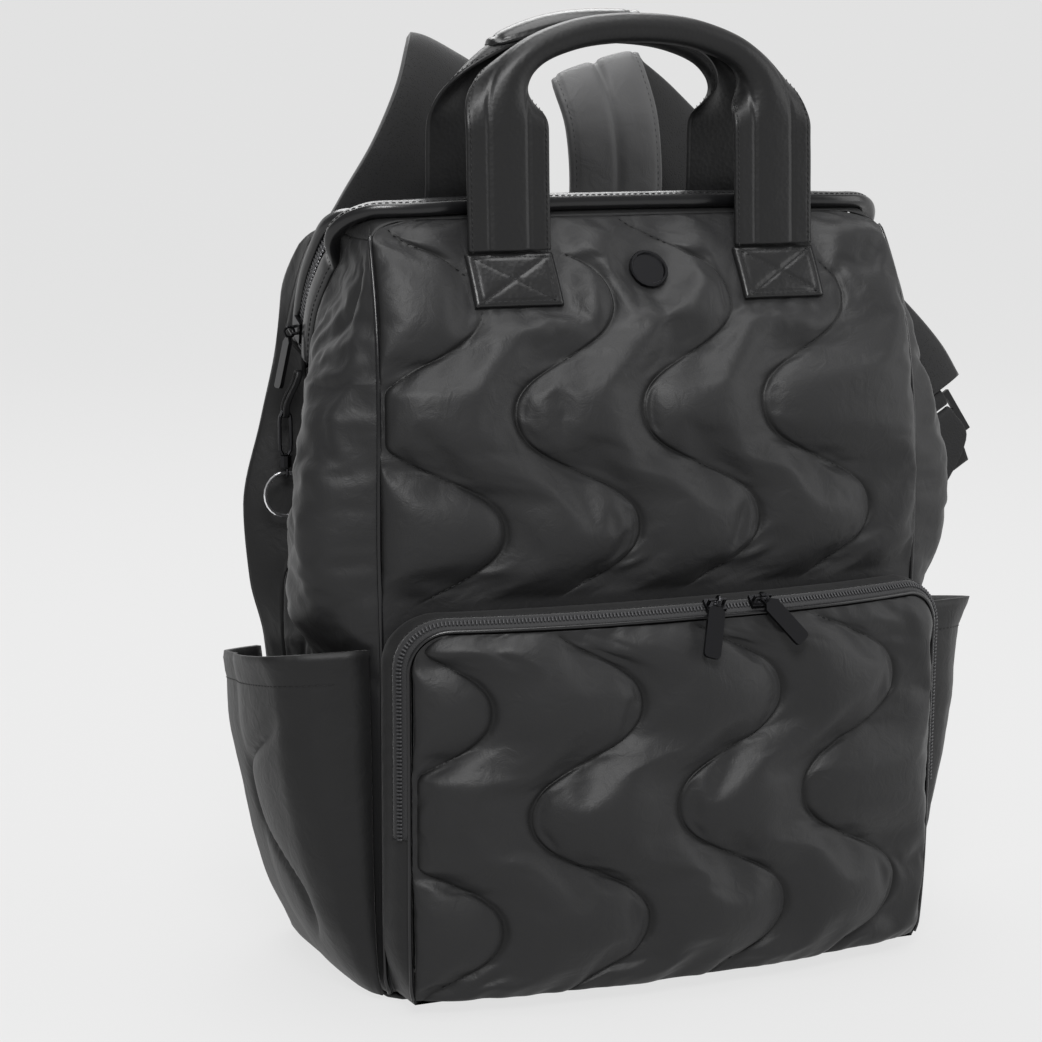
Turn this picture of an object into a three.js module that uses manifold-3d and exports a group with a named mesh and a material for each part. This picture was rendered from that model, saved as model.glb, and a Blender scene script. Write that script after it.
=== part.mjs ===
// Quilted puffer backpack with a wide zipped mouth, two handles and two padded shoulder straps.
// Millimetres, +Z up, the front faces -Y, the origin is the middle of the flat base.
import * as THREE from 'three';
import Module from 'manifold-3d';
import { mergeVertices } from 'three/addons/utils/BufferGeometryUtils.js';

const wasm = await Module();
wasm.setup();

// Body
const bodyWidth = 300;
const bodyDepth = 144;
const panelTop = 392.5;
const frontCrown = 16;
const sideRoll = 30;
const sideValley = 18;
const wall = 3;
const seamGap = 0.35;
const seat = 0.3;
const baseThickness = 3;
// Quilting
const quiltPitch = 71;
const pocketPitch = 78;
const quiltSwing = 31;
const quiltPeriod = 112;
const quiltRise = 11;
const upperBulgeHeight = 240;
// Front pocket
const pocketTop = 196;
const pocketDepth = 27;
const pocketCrown = 7;
const pocketShoulder = 7;
const pocketFaceInset = 3;
const pocketCorner = 20;
const pocketBulgeHeight = 156;
const pocketZipEnd = 95;
// Side pockets
const sidePocketFront = 183;
const sidePocketBack = 160;
const sidePocketBulge = 37;
const sidePocketWall = 2.6;
// Quilting of the side panels, as shares of the front's, and its clearance above the side pocket
const sideSwing = 0.6;
const sidePuff = 0.7;
const sideQuiltClear = 4;
// Mouth with its zip and bindings
const zipEndHeight = 322;
const mouthY = -26;
const mouthZ = 397.5;
const mouthArch = 2;
const mouthCorner = 24;
const mouthDrop = 11;
const zipHalf = 4.2;
const frontBindingHalf = 7;
const frontBindingHeight = 9;
const backBindingHalf = 4;
const backBindingHeight = 7;
// Handles
const handleStrap = 45;
const handleWall = 3;
const handleSpacing = 150;
const handleLean = 4;
const handleTop = 494;
const gripStart = 466;
const archStart = 428;
const patchTop = 374;
const patchHeight = 25;
const patchThickness = 2.6;
// Shoulder straps
const strapWidth = 56;
const strapThickness = 11;
const webbingWidth = 24;
const webbingThickness = 2;
// Hardware
const badgeDiameter = 21;
const badgeHeight = 365;
const ringRadius = 11.6;
const ringWire = 0.95;
const tabLength = 27;
const tabWidth = 9;
const tabThickness = 2;
const sliderPlate = 2;
const bridgeHeight = 3.6;
const bridgeBar = 1;
const eyeDrop = 0.8;
const eyeRadius = 2.7;
const eyeWire = 0.7;
const pocketPullLean = 0.42;
const mainPullLean = 0.22;
const lockBar = 4;
const lockSlot = 8;
const lockThickness = 3;
const lockDrop = 18;
// Leash, snap hook and key ring below the mouth zip's end
const leashBelowZip = 13;
const leashBehindZip = 1.6;
const loopHeight = 24;
const linkClear = 11;
const strandHalf = 1.7;
const linkWire = 1;
const linkHeight = 24;
const barrelRadius = 3.2;
const barrelHeight = 6;
const hookEyeRadius = 2.6;
const hookEyeWire = 0.8;

// Body sections from the base up. Lengths are shares: at of panelTop, width and backWidth of half the
// body width, front, rear and zip of half the depth, crown of frontCrown, roll of sideRoll.
const bodySections = [
  { at: 0, width: 0.965, backWidth: 0.965, front: 0.95, rear: 0.95, zip: 0.7, crown: 0.75, roll: 0.05 },
  { at: 0.04, width: 0.995, backWidth: 0.99, front: 0.99, rear: 0.99, zip: 0.72, crown: 0.85, roll: 0.1 },
  { at: 0.15, width: 1.005, backWidth: 1.02, front: 1.02, rear: 1, zip: 0.74, crown: 1, roll: 0.15 },
  { at: 0.42, width: 1.01, backWidth: 1.08, front: 1.05, rear: 1, zip: 0.76, crown: 1, roll: 0.25 },
  { at: 0.5, width: 1.015, backWidth: 1.13, front: 1.06, rear: 1, zip: 0.76, crown: 1, roll: 0.7 },
  { at: 0.6, width: 1.02, backWidth: 1.15, front: 1.06, rear: 1, zip: 0.76, crown: 1, roll: 1 },
  { at: 0.72, width: 1.015, backWidth: 1.08, front: 1.05, rear: 1, zip: 0.76, crown: 0.95, roll: 0.9 },
  { at: 0.82, width: 1.005, backWidth: 1.02, front: 0.99, rear: 1, zip: 0.7, crown: 0.75, roll: 0.45 },
  { at: 0.885, width: 0.995, backWidth: 1, front: 0.9, rear: 1, zip: 0.5, crown: 0.5, roll: 0.1 },
  { at: 0.955, width: 0.98, backWidth: 0.985, front: 0.74, rear: 0.7, zip: 0.15, crown: 0.2, roll: 0 },
  { at: 0.98, width: 0.972, backWidth: 0.972, front: 0.665, rear: 0.4, zip: 0, crown: 0.1, roll: 0 },
  { at: 1, width: 0.965, backWidth: 0.96, front: 0.6, rear: -0.19, zip: -0.14, crown: 0.05, roll: 0 },
];

// How far the side rolls out, as a share of the roll, from the front seam at 0 to the back seam at 1.
const sideProfile = [
  { at: 0, out: 0 },
  { at: 0.07, out: 0.62 },
  { at: 0.17, out: 0.95 },
  { at: 0.3, out: 1 },
  { at: 0.45, out: 0.72 },
  { at: 0.6, out: 0 },
  { at: 0.74, out: -0.7 },
  { at: 0.88, out: -0.5 },
  { at: 1, out: 0 },
];

// How far a side pocket stands out, as a share of its bulge, along its height and along its depth.
const pocketRise = [
  { at: 0, out: 0.1 },
  { at: 0.2, out: 0.42 },
  { at: 0.5, out: 0.72 },
  { at: 0.8, out: 0.93 },
  { at: 1, out: 1 },
];
const pocketSpan = [
  { at: 0, out: 0.06 },
  { at: 0.06, out: 0.7 },
  { at: 0.18, out: 1 },
  { at: 0.5, out: 1.04 },
  { at: 0.8, out: 0.85 },
  { at: 0.95, out: 0.35 },
  { at: 1, out: 0.06 },
];

// Smooth curve through one column of a table, without overshoot.
function column(table, name, at) {
  const last = table.length - 1;
  if (at <= table[0].at) return table[0][name];
  if (at >= table[last].at) return table[last][name];
  let k = 0;
  while (table[k + 1].at < at) k += 1;
  const rise = (i) => {
    const a = Math.max(0, Math.min(last - 1, i));
    return (table[a + 1][name] - table[a][name]) / (table[a + 1].at - table[a].at);
  };
  const slope = (i) => {
    const before = rise(i - 1);
    const after = rise(i);
    return before * after <= 0 ? 0 : (2 * before * after) / (before + after);
  };
  const step = table[k + 1].at - table[k].at;
  const t = (at - table[k].at) / step;
  const t2 = t * t;
  const t3 = t2 * t;
  return (2 * t3 - 3 * t2 + 1) * table[k][name] + (t3 - 2 * t2 + t) * step * slope(k)
    + (3 * t2 - 2 * t3) * table[k + 1][name] + (t3 - t2) * step * slope(k + 1);
}

const mix = THREE.MathUtils.lerp;
const fade = THREE.MathUtils.smoothstep;
const vec = (x, y, z) => new THREE.Vector3(x, y, z);
const spread = (from, to, count) => Array.from({ length: count + 1 }, (_, i) => mix(from, to, i / count));

// Body size at a height, with every wall moved in by inset.
function bodyAt(z) {
  const at = z / panelTop;
  return {
    width: (column(bodySections, 'width', at) * bodyWidth) / 2,
    backWidth: (column(bodySections, 'backWidth', at) * bodyWidth) / 2,
    front: (column(bodySections, 'front', at) * bodyDepth) / 2,
    rear: (column(bodySections, 'rear', at) * bodyDepth) / 2,
    zip: (column(bodySections, 'zip', at) * bodyDepth) / 2,
    crown: column(bodySections, 'crown', at) * frontCrown,
    roll: column(bodySections, 'roll', at) * sideRoll,
  };
}

const crownShape = (u) => 1 - Math.abs(u) ** 2.4;

// How far the mouth's rounded corner takes the front and back panels in.
function cornerTake(z) {
  const share = THREE.MathUtils.clamp((z - panelTop) / mouthDrop + 1, 0, 1);
  return mouthCorner * (1 - Math.sqrt(1 - share * share));
}

// Front face: u runs from -1 at the left seam to 1 at the right seam.
function frontPoint(u, z, inset = 0) {
  const b = bodyAt(z);
  const y = inset - (b.front + b.crown * crownShape(u));
  return vec(u * (b.width - seamGap - cornerTake(z)), y, z);
}

// Back face, u as on the front.
function backPoint(u, z, inset = 0) {
  const b = bodyAt(z);
  const y = b.rear - inset + 0.4 * b.crown * crownShape(u);
  return vec(u * (b.backWidth - seamGap - cornerTake(z)), y, z);
}

// Hollow that runs up the side wall below the zip's end.
function valleyAt(s, z) {
  const reach = 0.16;
  const across = THREE.MathUtils.clamp((s - 1 + reach) / reach, -1, 1);
  const along = fade(z, sidePocketFront + 12, 235) * (1 - fade(z, 272, zipEndHeight - 8));
  return sideValley * along * (0.5 + 0.5 * Math.cos(Math.PI * across));
}

// Side wall: side is -1 or 1, s runs from 0 at the front seam to 1 at the back seam.
function sidePoint(side, s, z) {
  const b = bodyAt(z);
  const out = mix(b.width, b.backWidth, s) + b.roll * column(sideProfile, 'out', s) - valleyAt(s, z);
  return vec(side * out, mix(-b.front + seamGap, b.rear - seamGap, s), z);
}

// Share of the side wall's depth at which a given y lies.
function sideShare(y, z) {
  const b = bodyAt(z);
  return (y + b.front) / (b.front + b.rear);
}

// Closed body from an outer and an inner grid with equal row counts. Seen from outside, columns run
// to the right and rows run up. A ring closes its last row onto its first.
function sheetSolid(outer, inner, ring = false) {
  const positions = [];
  const add = (grid) => grid.map((row) => row.map((p) => positions.push(p.x, p.y, p.z) / 3 - 1));
  const out = add(outer);
  const inn = add(inner);
  const faces = [];
  const skin = (grid, flip) => {
    const rows = ring ? grid.length : grid.length - 1;
    for (let j = 0; j < rows; j += 1) {
      const low = grid[j];
      const high = grid[(j + 1) % grid.length];
      for (let i = 0; i < low.length - 1; i += 1) {
        const [a, b, c, d] = [low[i], low[i + 1], high[i + 1], high[i]];
        if (flip) faces.push(b, a, c, c, a, d);
        else faces.push(a, b, c, a, c, d);
      }
    }
  };
  skin(out, false);
  skin(inn, true);
  const edge = (a, b) => {
    let i = 0;
    let j = 0;
    while (i < a.length - 1 || j < b.length - 1) {
      const nextA = (i + 1) / (a.length - 1);
      const nextB = (j + 1) / (b.length - 1);
      if (j === b.length - 1 || (i < a.length - 1 && nextA <= nextB + 1e-9)) {
        faces.push(a[i + 1], a[i], b[j]);
        i += 1;
      } else {
        faces.push(a[i], b[j], b[j + 1]);
        j += 1;
      }
    }
  };
  const side = (grid, i) => {
    const line = grid.map((row) => row.at(i));
    return ring ? [...line, line[0]] : line;
  };
  edge(side(out, -1), side(inn, -1));
  edge(side(out, 0).reverse(), side(inn, 0).reverse());
  if (!ring) {
    edge(out[0], inn[0]);
    edge([...out.at(-1)].reverse(), [...inn.at(-1)].reverse());
  }
  const geometry = new THREE.BufferGeometry();
  geometry.setAttribute('position', new THREE.Float32BufferAttribute(positions, 3));
  geometry.setIndex(faces);
  geometry.computeVertexNormals();
  return geometry;
}

// Bar through a list of convex sections, each a list of points in one turning sense.
function barSolid(sections) {
  const positions = sections.flat().flatMap((p) => [p.x, p.y, p.z]);
  const n = sections[0].length;
  const faces = [];
  for (let j = 0; j < sections.length - 1; j += 1) {
    for (let i = 0; i < n; i += 1) {
      const a = j * n + i;
      const b = j * n + ((i + 1) % n);
      faces.push(a, b, b + n, a, b + n, a + n);
    }
  }
  const top = (sections.length - 1) * n;
  for (let i = 1; i < n - 1; i += 1) {
    faces.push(0, i + 1, i);
    faces.push(top, top + i, top + i + 1);
  }
  const geometry = new THREE.BufferGeometry();
  geometry.setAttribute('position', new THREE.Float32BufferAttribute(positions, 3));
  geometry.setIndex(faces);
  geometry.computeVertexNormals();
  return geometry;
}

// Joining and cutting.
function toSolid(geometry) {
  const bare = geometry.clone();
  bare.deleteAttribute('normal');
  bare.deleteAttribute('uv');
  const merged = mergeVertices(bare, 1e-4);
  return new wasm.Manifold(new wasm.Mesh({
    numProp: 3,
    vertProperties: new Float32Array(merged.attributes.position.array),
    triVerts: new Uint32Array(merged.index.array),
  }));
}

function join(...geometries) {
  const solid = geometries.map(toSolid).reduce((a, b) => a.add(b));
  const mesh = solid.getMesh();
  const geometry = new THREE.BufferGeometry();
  geometry.setAttribute('position', new THREE.Float32BufferAttribute(mesh.vertProperties, 3));
  geometry.setIndex(Array.from(mesh.triVerts));
  geometry.computeVertexNormals();
  return geometry;
}

// Quilting: wavy seams that swing together, with the cloth puffed up between them.
const wave = (turn) => (Math.cos(turn) - 0.05 * Math.cos(3 * turn)) / 0.95;
const seamSwing = (z, bulgeHeight) => quiltSwing * wave((2 * Math.PI * (z - bulgeHeight)) / quiltPeriod);

// Columns across a quilted face: the seams and three places between each pair.
function quiltColumns(half, firstSeam, pitch) {
  const seams = [-half];
  for (let x = firstSeam; x < half - pitch / 3; x += pitch) {
    if (x > -half + pitch / 4) seams.push(x);
  }
  seams.push(half);
  const columns = [];
  for (let k = 0; k < seams.length - 1; k += 1) {
    const steps = seams[k + 1] - seams[k] > pitch * 0.7 ? 4 : 2;
    for (let i = 0; i < steps; i += 1) {
      columns.push({ x: mix(seams[k], seams[k + 1], i / steps), puff: puffShape(i / steps) });
    }
  }
  columns.push({ x: half, puff: 0 });
  return columns;
}

function puffShape(q) {
  return (1 - Math.abs(2 * q - 1) ** 2.2) ** 0.7;
}

// Grid of a quilted face: face(u, z) gives the plain surface and rise(u, z) scales the puff.
function quiltGrid(face, half, columns, levels, bulgeHeight, rise) {
  return levels.map((z) => columns.map((c) => {
    const hold = 1 - Math.abs(c.x / half) ** 6;
    const u = THREE.MathUtils.clamp((c.x + seamSwing(z, bulgeHeight) * hold) / half, -1, 1);
    const p = face(u, z);
    p.y -= quiltRise * c.puff * rise(u, z);
    return p;
  }));
}

const group = new THREE.Group();
const finishes = {
  nylon: { color: 0x2e2e30, roughness: 0.5, metalness: 0 },
  binding: { color: 0x161617, roughness: 0.3, metalness: 0 },
  leather: { color: 0x262627, roughness: 0.42, metalness: 0 },
  tape: { color: 0x1c1c1d, roughness: 0.75, metalness: 0 },
  steel: { color: 0xb8b8bc, roughness: 0.25, metalness: 1 },
  darkMetal: { color: 0x232325, roughness: 0.35, metalness: 0.8 },
  plastic: { color: 0x151516, roughness: 0.5, metalness: 0 },
};

function place(name, finish, geometry) {
  const mesh = new THREE.Mesh(geometry, new THREE.MeshStandardMaterial(finishes[finish]));
  mesh.name = name;
  group.add(mesh);
  return mesh;
}

const floorOfWalls = baseThickness + seat;
const halfWidth = bodyWidth / 2;
const lowLevels = [0, 0.05, 0.14, 0.3, 0.5, 0.7, 0.87].map((t) => mix(floorOfWalls, pocketTop, t));
const zipFoot = [-11.5, -8, -6.5, 7].map((step) => zipEndHeight + step);
const wallLevels = [
  ...lowLevels,
  ...spread(pocketTop + pocketShoulder + 2, zipFoot[0], 9),
  ...zipFoot.slice(1),
  ...spread(zipFoot[3], panelTop - mouthDrop, 5).slice(1),
  panelTop - 0.35 * mouthDrop,
  panelTop,
];
const patchCentre = handleSpacing / 2;

// The puff dies away at the panel's edges, under the front pocket, and under the patches and badge.
function frontRise(u, z) {
  const x = u * halfWidth;
  const aboveOfPocket = fade(z, pocketTop + pocketShoulder + 8, pocketTop + pocketShoulder + 28);
  const belowOfBinding = 1 - fade(z, panelTop - 22, panelTop - 2);
  const patchReach = handleStrap / 2 + 18;
  const beside = fade(Math.abs(Math.abs(x) - patchCentre), patchReach, patchReach + 12);
  const below = 1 - fade(z, patchTop - patchHeight - 34, patchTop - patchHeight - 12);
  const badge = Math.hypot(x, z - badgeHeight) / badgeDiameter;
  return aboveOfPocket * belowOfBinding * Math.max(beside, below) * fade(badge, 0.75, 2);
}

function buildFrontPanel() {
  const levels = wallLevels;
  const columns = quiltColumns(halfWidth, -halfWidth + 30, quiltPitch);
  const outer = quiltGrid(frontPoint, halfWidth, columns, levels, upperBulgeHeight, frontRise);
  const inner = levels.map((z) => spread(-1, 1, 4).map((u) => frontPoint(u, z, wall)));
  place('front_panel', 'nylon', sheetSolid(outer, inner));
}

function buildBackPanel() {
  const levels = wallLevels;
  const across = spread(1, -1, 6);
  const outer = levels.map((z) => across.map((u) => backPoint(u, z)));
  const inner = levels.map((z) => spread(1, -1, 3).map((u) => backPoint(u, z, wall)));
  place('back_panel', 'nylon', sheetSolid(outer, inner));
}

// Mouth line: up one side along the zip, round the corner, across the top and down the other side.
function mouthCurve() {
  const side = (sign) => [0, 0.25, 0.5, 0.72, 0.9].map((t) => {
    const z = mix(zipEndHeight, panelTop - 6, t);
    return sidePoint(sign, sideShare(bodyAt(z).zip, z), z);
  });
  const edge = bodyAt(panelTop).width;
  const turn = (sign) => [
    vec(sign * (edge - 0.12 * mouthCorner), mix(bodyAt(panelTop).zip, mouthY, 0.3), panelTop - 1),
    vec(sign * (edge - 0.45 * mouthCorner), mix(bodyAt(panelTop).zip, mouthY, 0.75), mouthZ - 1),
    vec(sign * (edge - mouthCorner), mouthY, mouthZ),
  ];
  const top = [-0.5, 0, 0.5].map((u) => vec(u * edge, mouthY, mouthZ + mouthArch * (1 - u * u)));
  const left = [...side(-1), ...turn(-1)];
  const right = [...side(1), ...turn(1)].reverse();
  return new THREE.CatmullRomCurve3([...left, ...top, ...right], false, 'centripetal');
}

// Places along the mouth line with the way along it, the way out and the way to the front.
function mouthFrames(count) {
  const curve = mouthCurve();
  return spread(0, 1, count).map((t) => {
    const at = curve.getPoint(t);
    const along = curve.getTangent(t);
    const over = fade(at.z, panelTop - 14, mouthZ - 0.5);
    const out = vec(Math.sign(at.x) * (1 - over), 0, over);
    out.addScaledVector(along, -out.dot(along)).normalize();
    return { at, along, out, front: along.clone().cross(out) };
  });
}

const shift = (frame, front, out) => frame.at.clone().addScaledVector(frame.front, front)
  .addScaledVector(frame.out, out);

// Lines on the side wall along which its panels meet the bindings, worked out from the mouth line.
const mouthSide = mouthFrames(30).filter((f) => f.at.x < 0).slice(0, 12);
const bindingLine = (offset) => mouthSide.map((f) => shift(f, offset, 0)).map((p) => ({ at: p.z, y: p.y }));
const frontBindingLine = bindingLine(zipHalf + 2 * (seat + frontBindingHalf) + 3 * seat);
const backBindingLine = bindingLine(-(zipHalf + 2 * (seat + backBindingHalf) + 18 * seat));
const sideFrontTop = panelTop - 9;
const sideBackTop = panelTop - 12;

function sideEdge(z, line, gap, from, to) {
  const opening = fade(z, zipEndHeight - from, zipEndHeight - to);
  return mix(bodyAt(z).zip + gap, column(line, 'y', z), opening);
}

const frontSideEdge = (z) => sideEdge(z, frontBindingLine, -seamGap, 11.5, 8);
const backSideEdge = (z) => sideEdge(z, backBindingLine, seamGap, 6.5, -5.5);

// Lift of the side's quilting at share t of the way from the front edge to the zip.
function sideLift(z, t) {
  const span = frontSideEdge(z) + bodyAt(z).front;
  const bays = 2;
  const moved = t + (seamSwing(z, upperBulgeHeight) * sideSwing) / span;
  const inBay = (moved * bays) - Math.floor(moved * bays);
  const ends = fade(t, 0, 0.15) * (1 - fade(t, 0.68, 0.86));
  const low = fade(z, sidePocketFront + sideQuiltClear, sidePocketFront + sideQuiltClear + 26);
  const high = 1 - fade(z, sideFrontTop - 30, sideFrontTop);
  return quiltRise * sidePuff * puffShape(inBay) * ends * low * high;
}

// Quilted side panel in front of the zip, and the smooth one behind it.
function buildSidePanels(side, prefix) {
  const orient = (list) => (side > 0 ? list : list.reverse());
  const panel = (name, levels, from, to, steps, lift) => {
    const row = (z, inset) => orient(spread(from(z), to(z), steps).map((share, i) => {
      const p = sidePoint(side, share, z);
      p.x += side * (inset ? -inset : lift(z, i / steps));
      return p;
    }));
    const outer = levels.map((z) => row(z, 0));
    const inner = levels.map((z) => row(z, wall));
    place(name, 'nylon', sheetSolid(outer, inner));
  };
  const frontLevels = wallLevels.filter((z) => z < sideFrontTop);
  const fromFront = (z) => sideShare(wall + seamGap - bodyAt(z).front, z);
  const toZip = (z) => sideShare(frontSideEdge(z), z);
  panel(`${prefix}_side_front`, frontLevels, fromFront, toZip, 7, sideLift);
  const backLevels = wallLevels.filter((z) => z < sideBackTop);
  const fromZip = (z) => sideShare(backSideEdge(z), z);
  const toBack = (z) => sideShare(bodyAt(z).rear - wall - seamGap, z);
  panel(`${prefix}_side_back`, backLevels, fromZip, toBack, 3, () => 0);
}

// Flat base plate with the outline of the walls that stand on it.
function buildBase() {
  const outline = new THREE.Shape();
  const b = bodyAt(floorOfWalls);
  const front = spread(-0.97, 0.97, 10).map((u) => frontPoint(u, floorOfWalls));
  const trim = 1;
  front.forEach((p, i) => (i ? outline.lineTo(p.x, p.y + trim) : outline.moveTo(p.x, p.y + trim)));
  const right = spread(0.04, 0.96, 5).map((s) => sidePoint(1, s, floorOfWalls));
  right.forEach((p) => outline.lineTo(p.x - trim, p.y));
  const back = spread(0.97, -0.97, 6).map((u) => backPoint(u, floorOfWalls));
  back.forEach((p) => outline.lineTo(p.x, Math.min(p.y, b.rear + b.crown) - trim));
  [...right].reverse().forEach((p) => outline.lineTo(-(p.x - trim), p.y));
  const geometry = new THREE.ExtrudeGeometry(outline, { depth: baseThickness, bevelEnabled: false });
  place('base_panel', 'nylon', geometry);
}

// Front pocket: a quilted face on a wall that carries the zip on its rounded shoulder.
const pocketBottom = floorOfWalls + 3;
const pocketLevels = [0, 0.035, 0.12, 0.28, 0.46, 0.64, 0.8].map((t) => mix(pocketBottom, pocketTop, t));

function pocketHalf(z, inset = 0) {
  const b = bodyAt(z);
  const radius = pocketCorner - inset;
  const down = z - (pocketTop - inset - radius);
  const corner = down > 0 ? radius - Math.sqrt(Math.max(0, radius ** 2 - down ** 2)) : 0;
  return b.width - pocketFaceInset - inset - corner;
}

// A point of the pocket, depth measured forward from the body's front face.
function pocketPoint(x, z, depth) {
  const b = bodyAt(z);
  const u = THREE.MathUtils.clamp(x / (b.width - seamGap), -1, 1);
  const forward = depth + (depth / pocketDepth) * pocketCrown * crownShape(u);
  return vec(x, -(b.front + b.crown * crownShape(u)) - forward, z);
}

function buildPocketFace() {
  const clear = 0.95;
  const straight = spread(pocketBottom + clear, pocketTop - pocketCorner, 15);
  const bend = [0.25, 0.5, 0.75, 0.92]
    .map((t) => pocketTop - pocketCorner + (pocketCorner - clear) * Math.sin((t * Math.PI) / 2));
  const levels = [...straight, ...bend];
  const columns = quiltColumns(halfWidth, -halfWidth + 8, pocketPitch);
  const outer = levels.map((z) => columns.map((c) => {
    const hold = 1 - Math.abs(c.x / halfWidth) ** 6;
    const u = THREE.MathUtils.clamp((c.x + seamSwing(z, pocketBulgeHeight) * hold) / halfWidth, -1, 1);
    const p = pocketPoint(u * pocketHalf(z, clear), z, pocketDepth);
    const low = fade(z, pocketBottom, pocketBottom + 16);
    const high = 1 - fade(z, pocketTop - 22, pocketTop - 4);
    p.y -= quiltRise * 0.9 * c.puff * low * high;
    return p;
  }));
  const inner = levels.map((z) => {
    const tuck = THREE.MathUtils.clamp(z, pocketBottom + clear + 1.5 * wall, pocketTop - clear - 1.5 * wall);
    return spread(-1, 1, 4).map((u) => {
      const p = pocketPoint(u * (pocketHalf(z, clear) - 1.4 * wall), z, pocketDepth - wall);
      return vec(p.x, p.y, tuck);
    });
  });
  place('front_pocket_face', 'nylon', sheetSolid(outer, inner));
}

// Outline of the pocket seen from the front, anticlockwise from the lower left corner going up.
function pocketOutline() {
  const points = [];
  const low = fadeLow;
  pocketLevels.forEach((z) => points.push({ x: -pocketHalf(z), z, nx: -1, nz: 0, out: low(z) }));
  const corner = (side, order) => order.forEach((t) => {
    const turn = (t * Math.PI) / 2;
    const z = pocketTop - pocketCorner + pocketCorner * Math.sin(turn);
    const flat = bodyAt(z).width - pocketFaceInset - pocketCorner;
    points.push({
      x: side * (flat + pocketCorner * Math.cos(turn)), z, nx: side * Math.cos(turn), nz: Math.sin(turn), out: 1,
    });
  });
  corner(-1, [0, 0.25, 0.5, 0.75, 1]);
  const reach = bodyAt(pocketTop).width - pocketFaceInset - pocketCorner;
  spread(-reach, reach, 12).slice(1, -1).forEach((x) => points.push({ x, z: pocketTop, nx: 0, nz: 1, out: 1 }));
  corner(1, [1, 0.75, 0.5, 0.25, 0]);
  [...pocketLevels].reverse().forEach((z) => points.push({ x: pocketHalf(z), z, nx: 1, nz: 0, out: low(z) }));
  const foot = pocketHalf(pocketBottom);
  spread(foot, -foot, 10).slice(1, -1).forEach((x) => points.push({ x, z: pocketBottom, nx: 0, nz: -1, out: 0 }));
  return points;
}

const fadeLow = (z) => fade(z, pocketBottom, pocketBottom + 30);

// The wall's section from the face back to the body: share of depth and of the shoulder.
const wallSection = [
  { depth: 1, shoulder: 0 },
  { depth: 0.72, shoulder: 0.8 },
  { depth: 0.45, shoulder: 1 },
  { depth: 0, shoulder: 0.5 },
];

function buildPocketWall() {
  const outline = pocketOutline();
  const clearOfBody = 0.5;
  const layer = (section, inset) => outline.map((q) => section.map((w) => {
    const out = pocketShoulder * w.shoulder * q.out - inset;
    const depth = Math.max(clearOfBody, w.depth * pocketDepth - (w.depth === 1 ? inset * 1.25 : 0));
    return pocketPoint(q.x + q.nx * out, q.z + q.nz * out, depth);
  }));
  const outer = layer(wallSection, 0).map((row) => row.reverse());
  const inner = layer([wallSection[0], wallSection[2], wallSection[3]], wall).map((row) => row.reverse());
  place('front_pocket_wall', 'nylon', sheetSolid(outer, inner, true));
}


// Side pocket: an open-topped wall that stands out from the side, taller at the front.
function buildSidePocket(side, prefix) {
  const clear = 1;
  const top = (s) => mix(sidePocketFront, sidePocketBack, s);
  const shares = [0, 0.035, 0.09, 0.18, 0.32, 0.48, 0.64, 0.78, 0.88, 0.955, 1];
  const orient = (list) => (side > 0 ? list : list.reverse());
  const row = (t, inset) => orient(shares.map((share) => {
    const end = clear + inset;
    const z = mix(floorOfWalls, top(share), t);
    const b = bodyAt(z);
    const y = mix(-b.front + end, b.rear - end, share);
    const body = sidePoint(side, sideShare(y, z), z);
    const hollow = Math.max(side * body.x, mix(b.width, b.backWidth, share));
    const stand = sidePocketBulge * column(pocketRise, 'out', t) * column(pocketSpan, 'out', share);
    return vec(side * (hollow + clear + sidePocketWall + stand - inset), y, z);
  }));
  const rows = spread(0, 1, 9);
  const outer = rows.map((t) => row(t, 0));
  const inner = rows.map((t) => row(t, sidePocketWall));
  place(`${prefix}_side_pocket`, 'nylon', sheetSolid(outer, inner));
}

function buildMouth() {
  const frames = mouthFrames(30);
  const zipTape = zipHalf - 0.7;
  const ridge = [[-1, 0.5], [-0.55, 0.7], [0, 2.2], [0.55, 0.7], [1, 0.5]];
  const outer = frames.map((f) => ridge.map(([a, lift]) => shift(f, a * zipTape, lift)));
  const inner = frames.map((f) => [-1, 1].map((a) => shift(f, a * zipTape, -0.8)));
  place('main_zip', 'tape', sheetSolid(outer, inner));
  const binding = (name, offset, half, height) => {
    const sides = 6;
    const turns = spread(0, 2 * Math.PI, sides).slice(0, -1);
    const grow = 1 / Math.cos(Math.PI / sides);
    const sections = frames.map((f) => turns.map((a) => shift(
      f,
      offset + half * grow * Math.sin(a),
      (height / 2) * Math.cos(a),
    )));
    place(name, 'binding', barSolid(sections));
  };
  const frontOffset = zipHalf + seat + frontBindingHalf;
  const backOffset = -(zipHalf + seat + backBindingHalf);
  binding('mouth_binding_front', frontOffset, frontBindingHalf, frontBindingHeight);
  binding('mouth_binding_back', backOffset, backBindingHalf, backBindingHeight);
}

// Outward direction of a surface of two parameters.
function outwardAt(surface, u, z, out) {
  const step = 0.01;
  const a = surface(u + step, z).sub(surface(u - step, z));
  const b = surface(u, z + 1).sub(surface(u, z - 1));
  const normal = a.cross(b).normalize();
  return normal.dot(out) < 0 ? normal.negate() : normal;
}

// Flat trim laid on a surface: columns and rows of places, lifted off the surface.
function layOn(surface, out, xs, zs, share, thickness, lift = seat) {
  const grid = (height) => zs.map((z) => xs.map((x) => {
    const u = share(x, z);
    return surface(u, z).addScaledVector(outwardAt(surface, u, z, out), height);
  }));
  return sheetSolid(grid(lift + thickness), grid(lift));
}

const onFront = (x, z) => x / (bodyAt(z).width - seamGap);
const onBack = (x, z) => x / (bodyAt(z).backWidth - seamGap);
const forward = vec(0, -1, 0);
const backward = vec(0, 1, 0);
const patchHalf = handleStrap / 2 + 1;
const frontPatchFoot = patchTop - patchHeight;
const backPatchTop = panelTop - 3.6;
const backPatchFoot = panelTop - 9;

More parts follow.
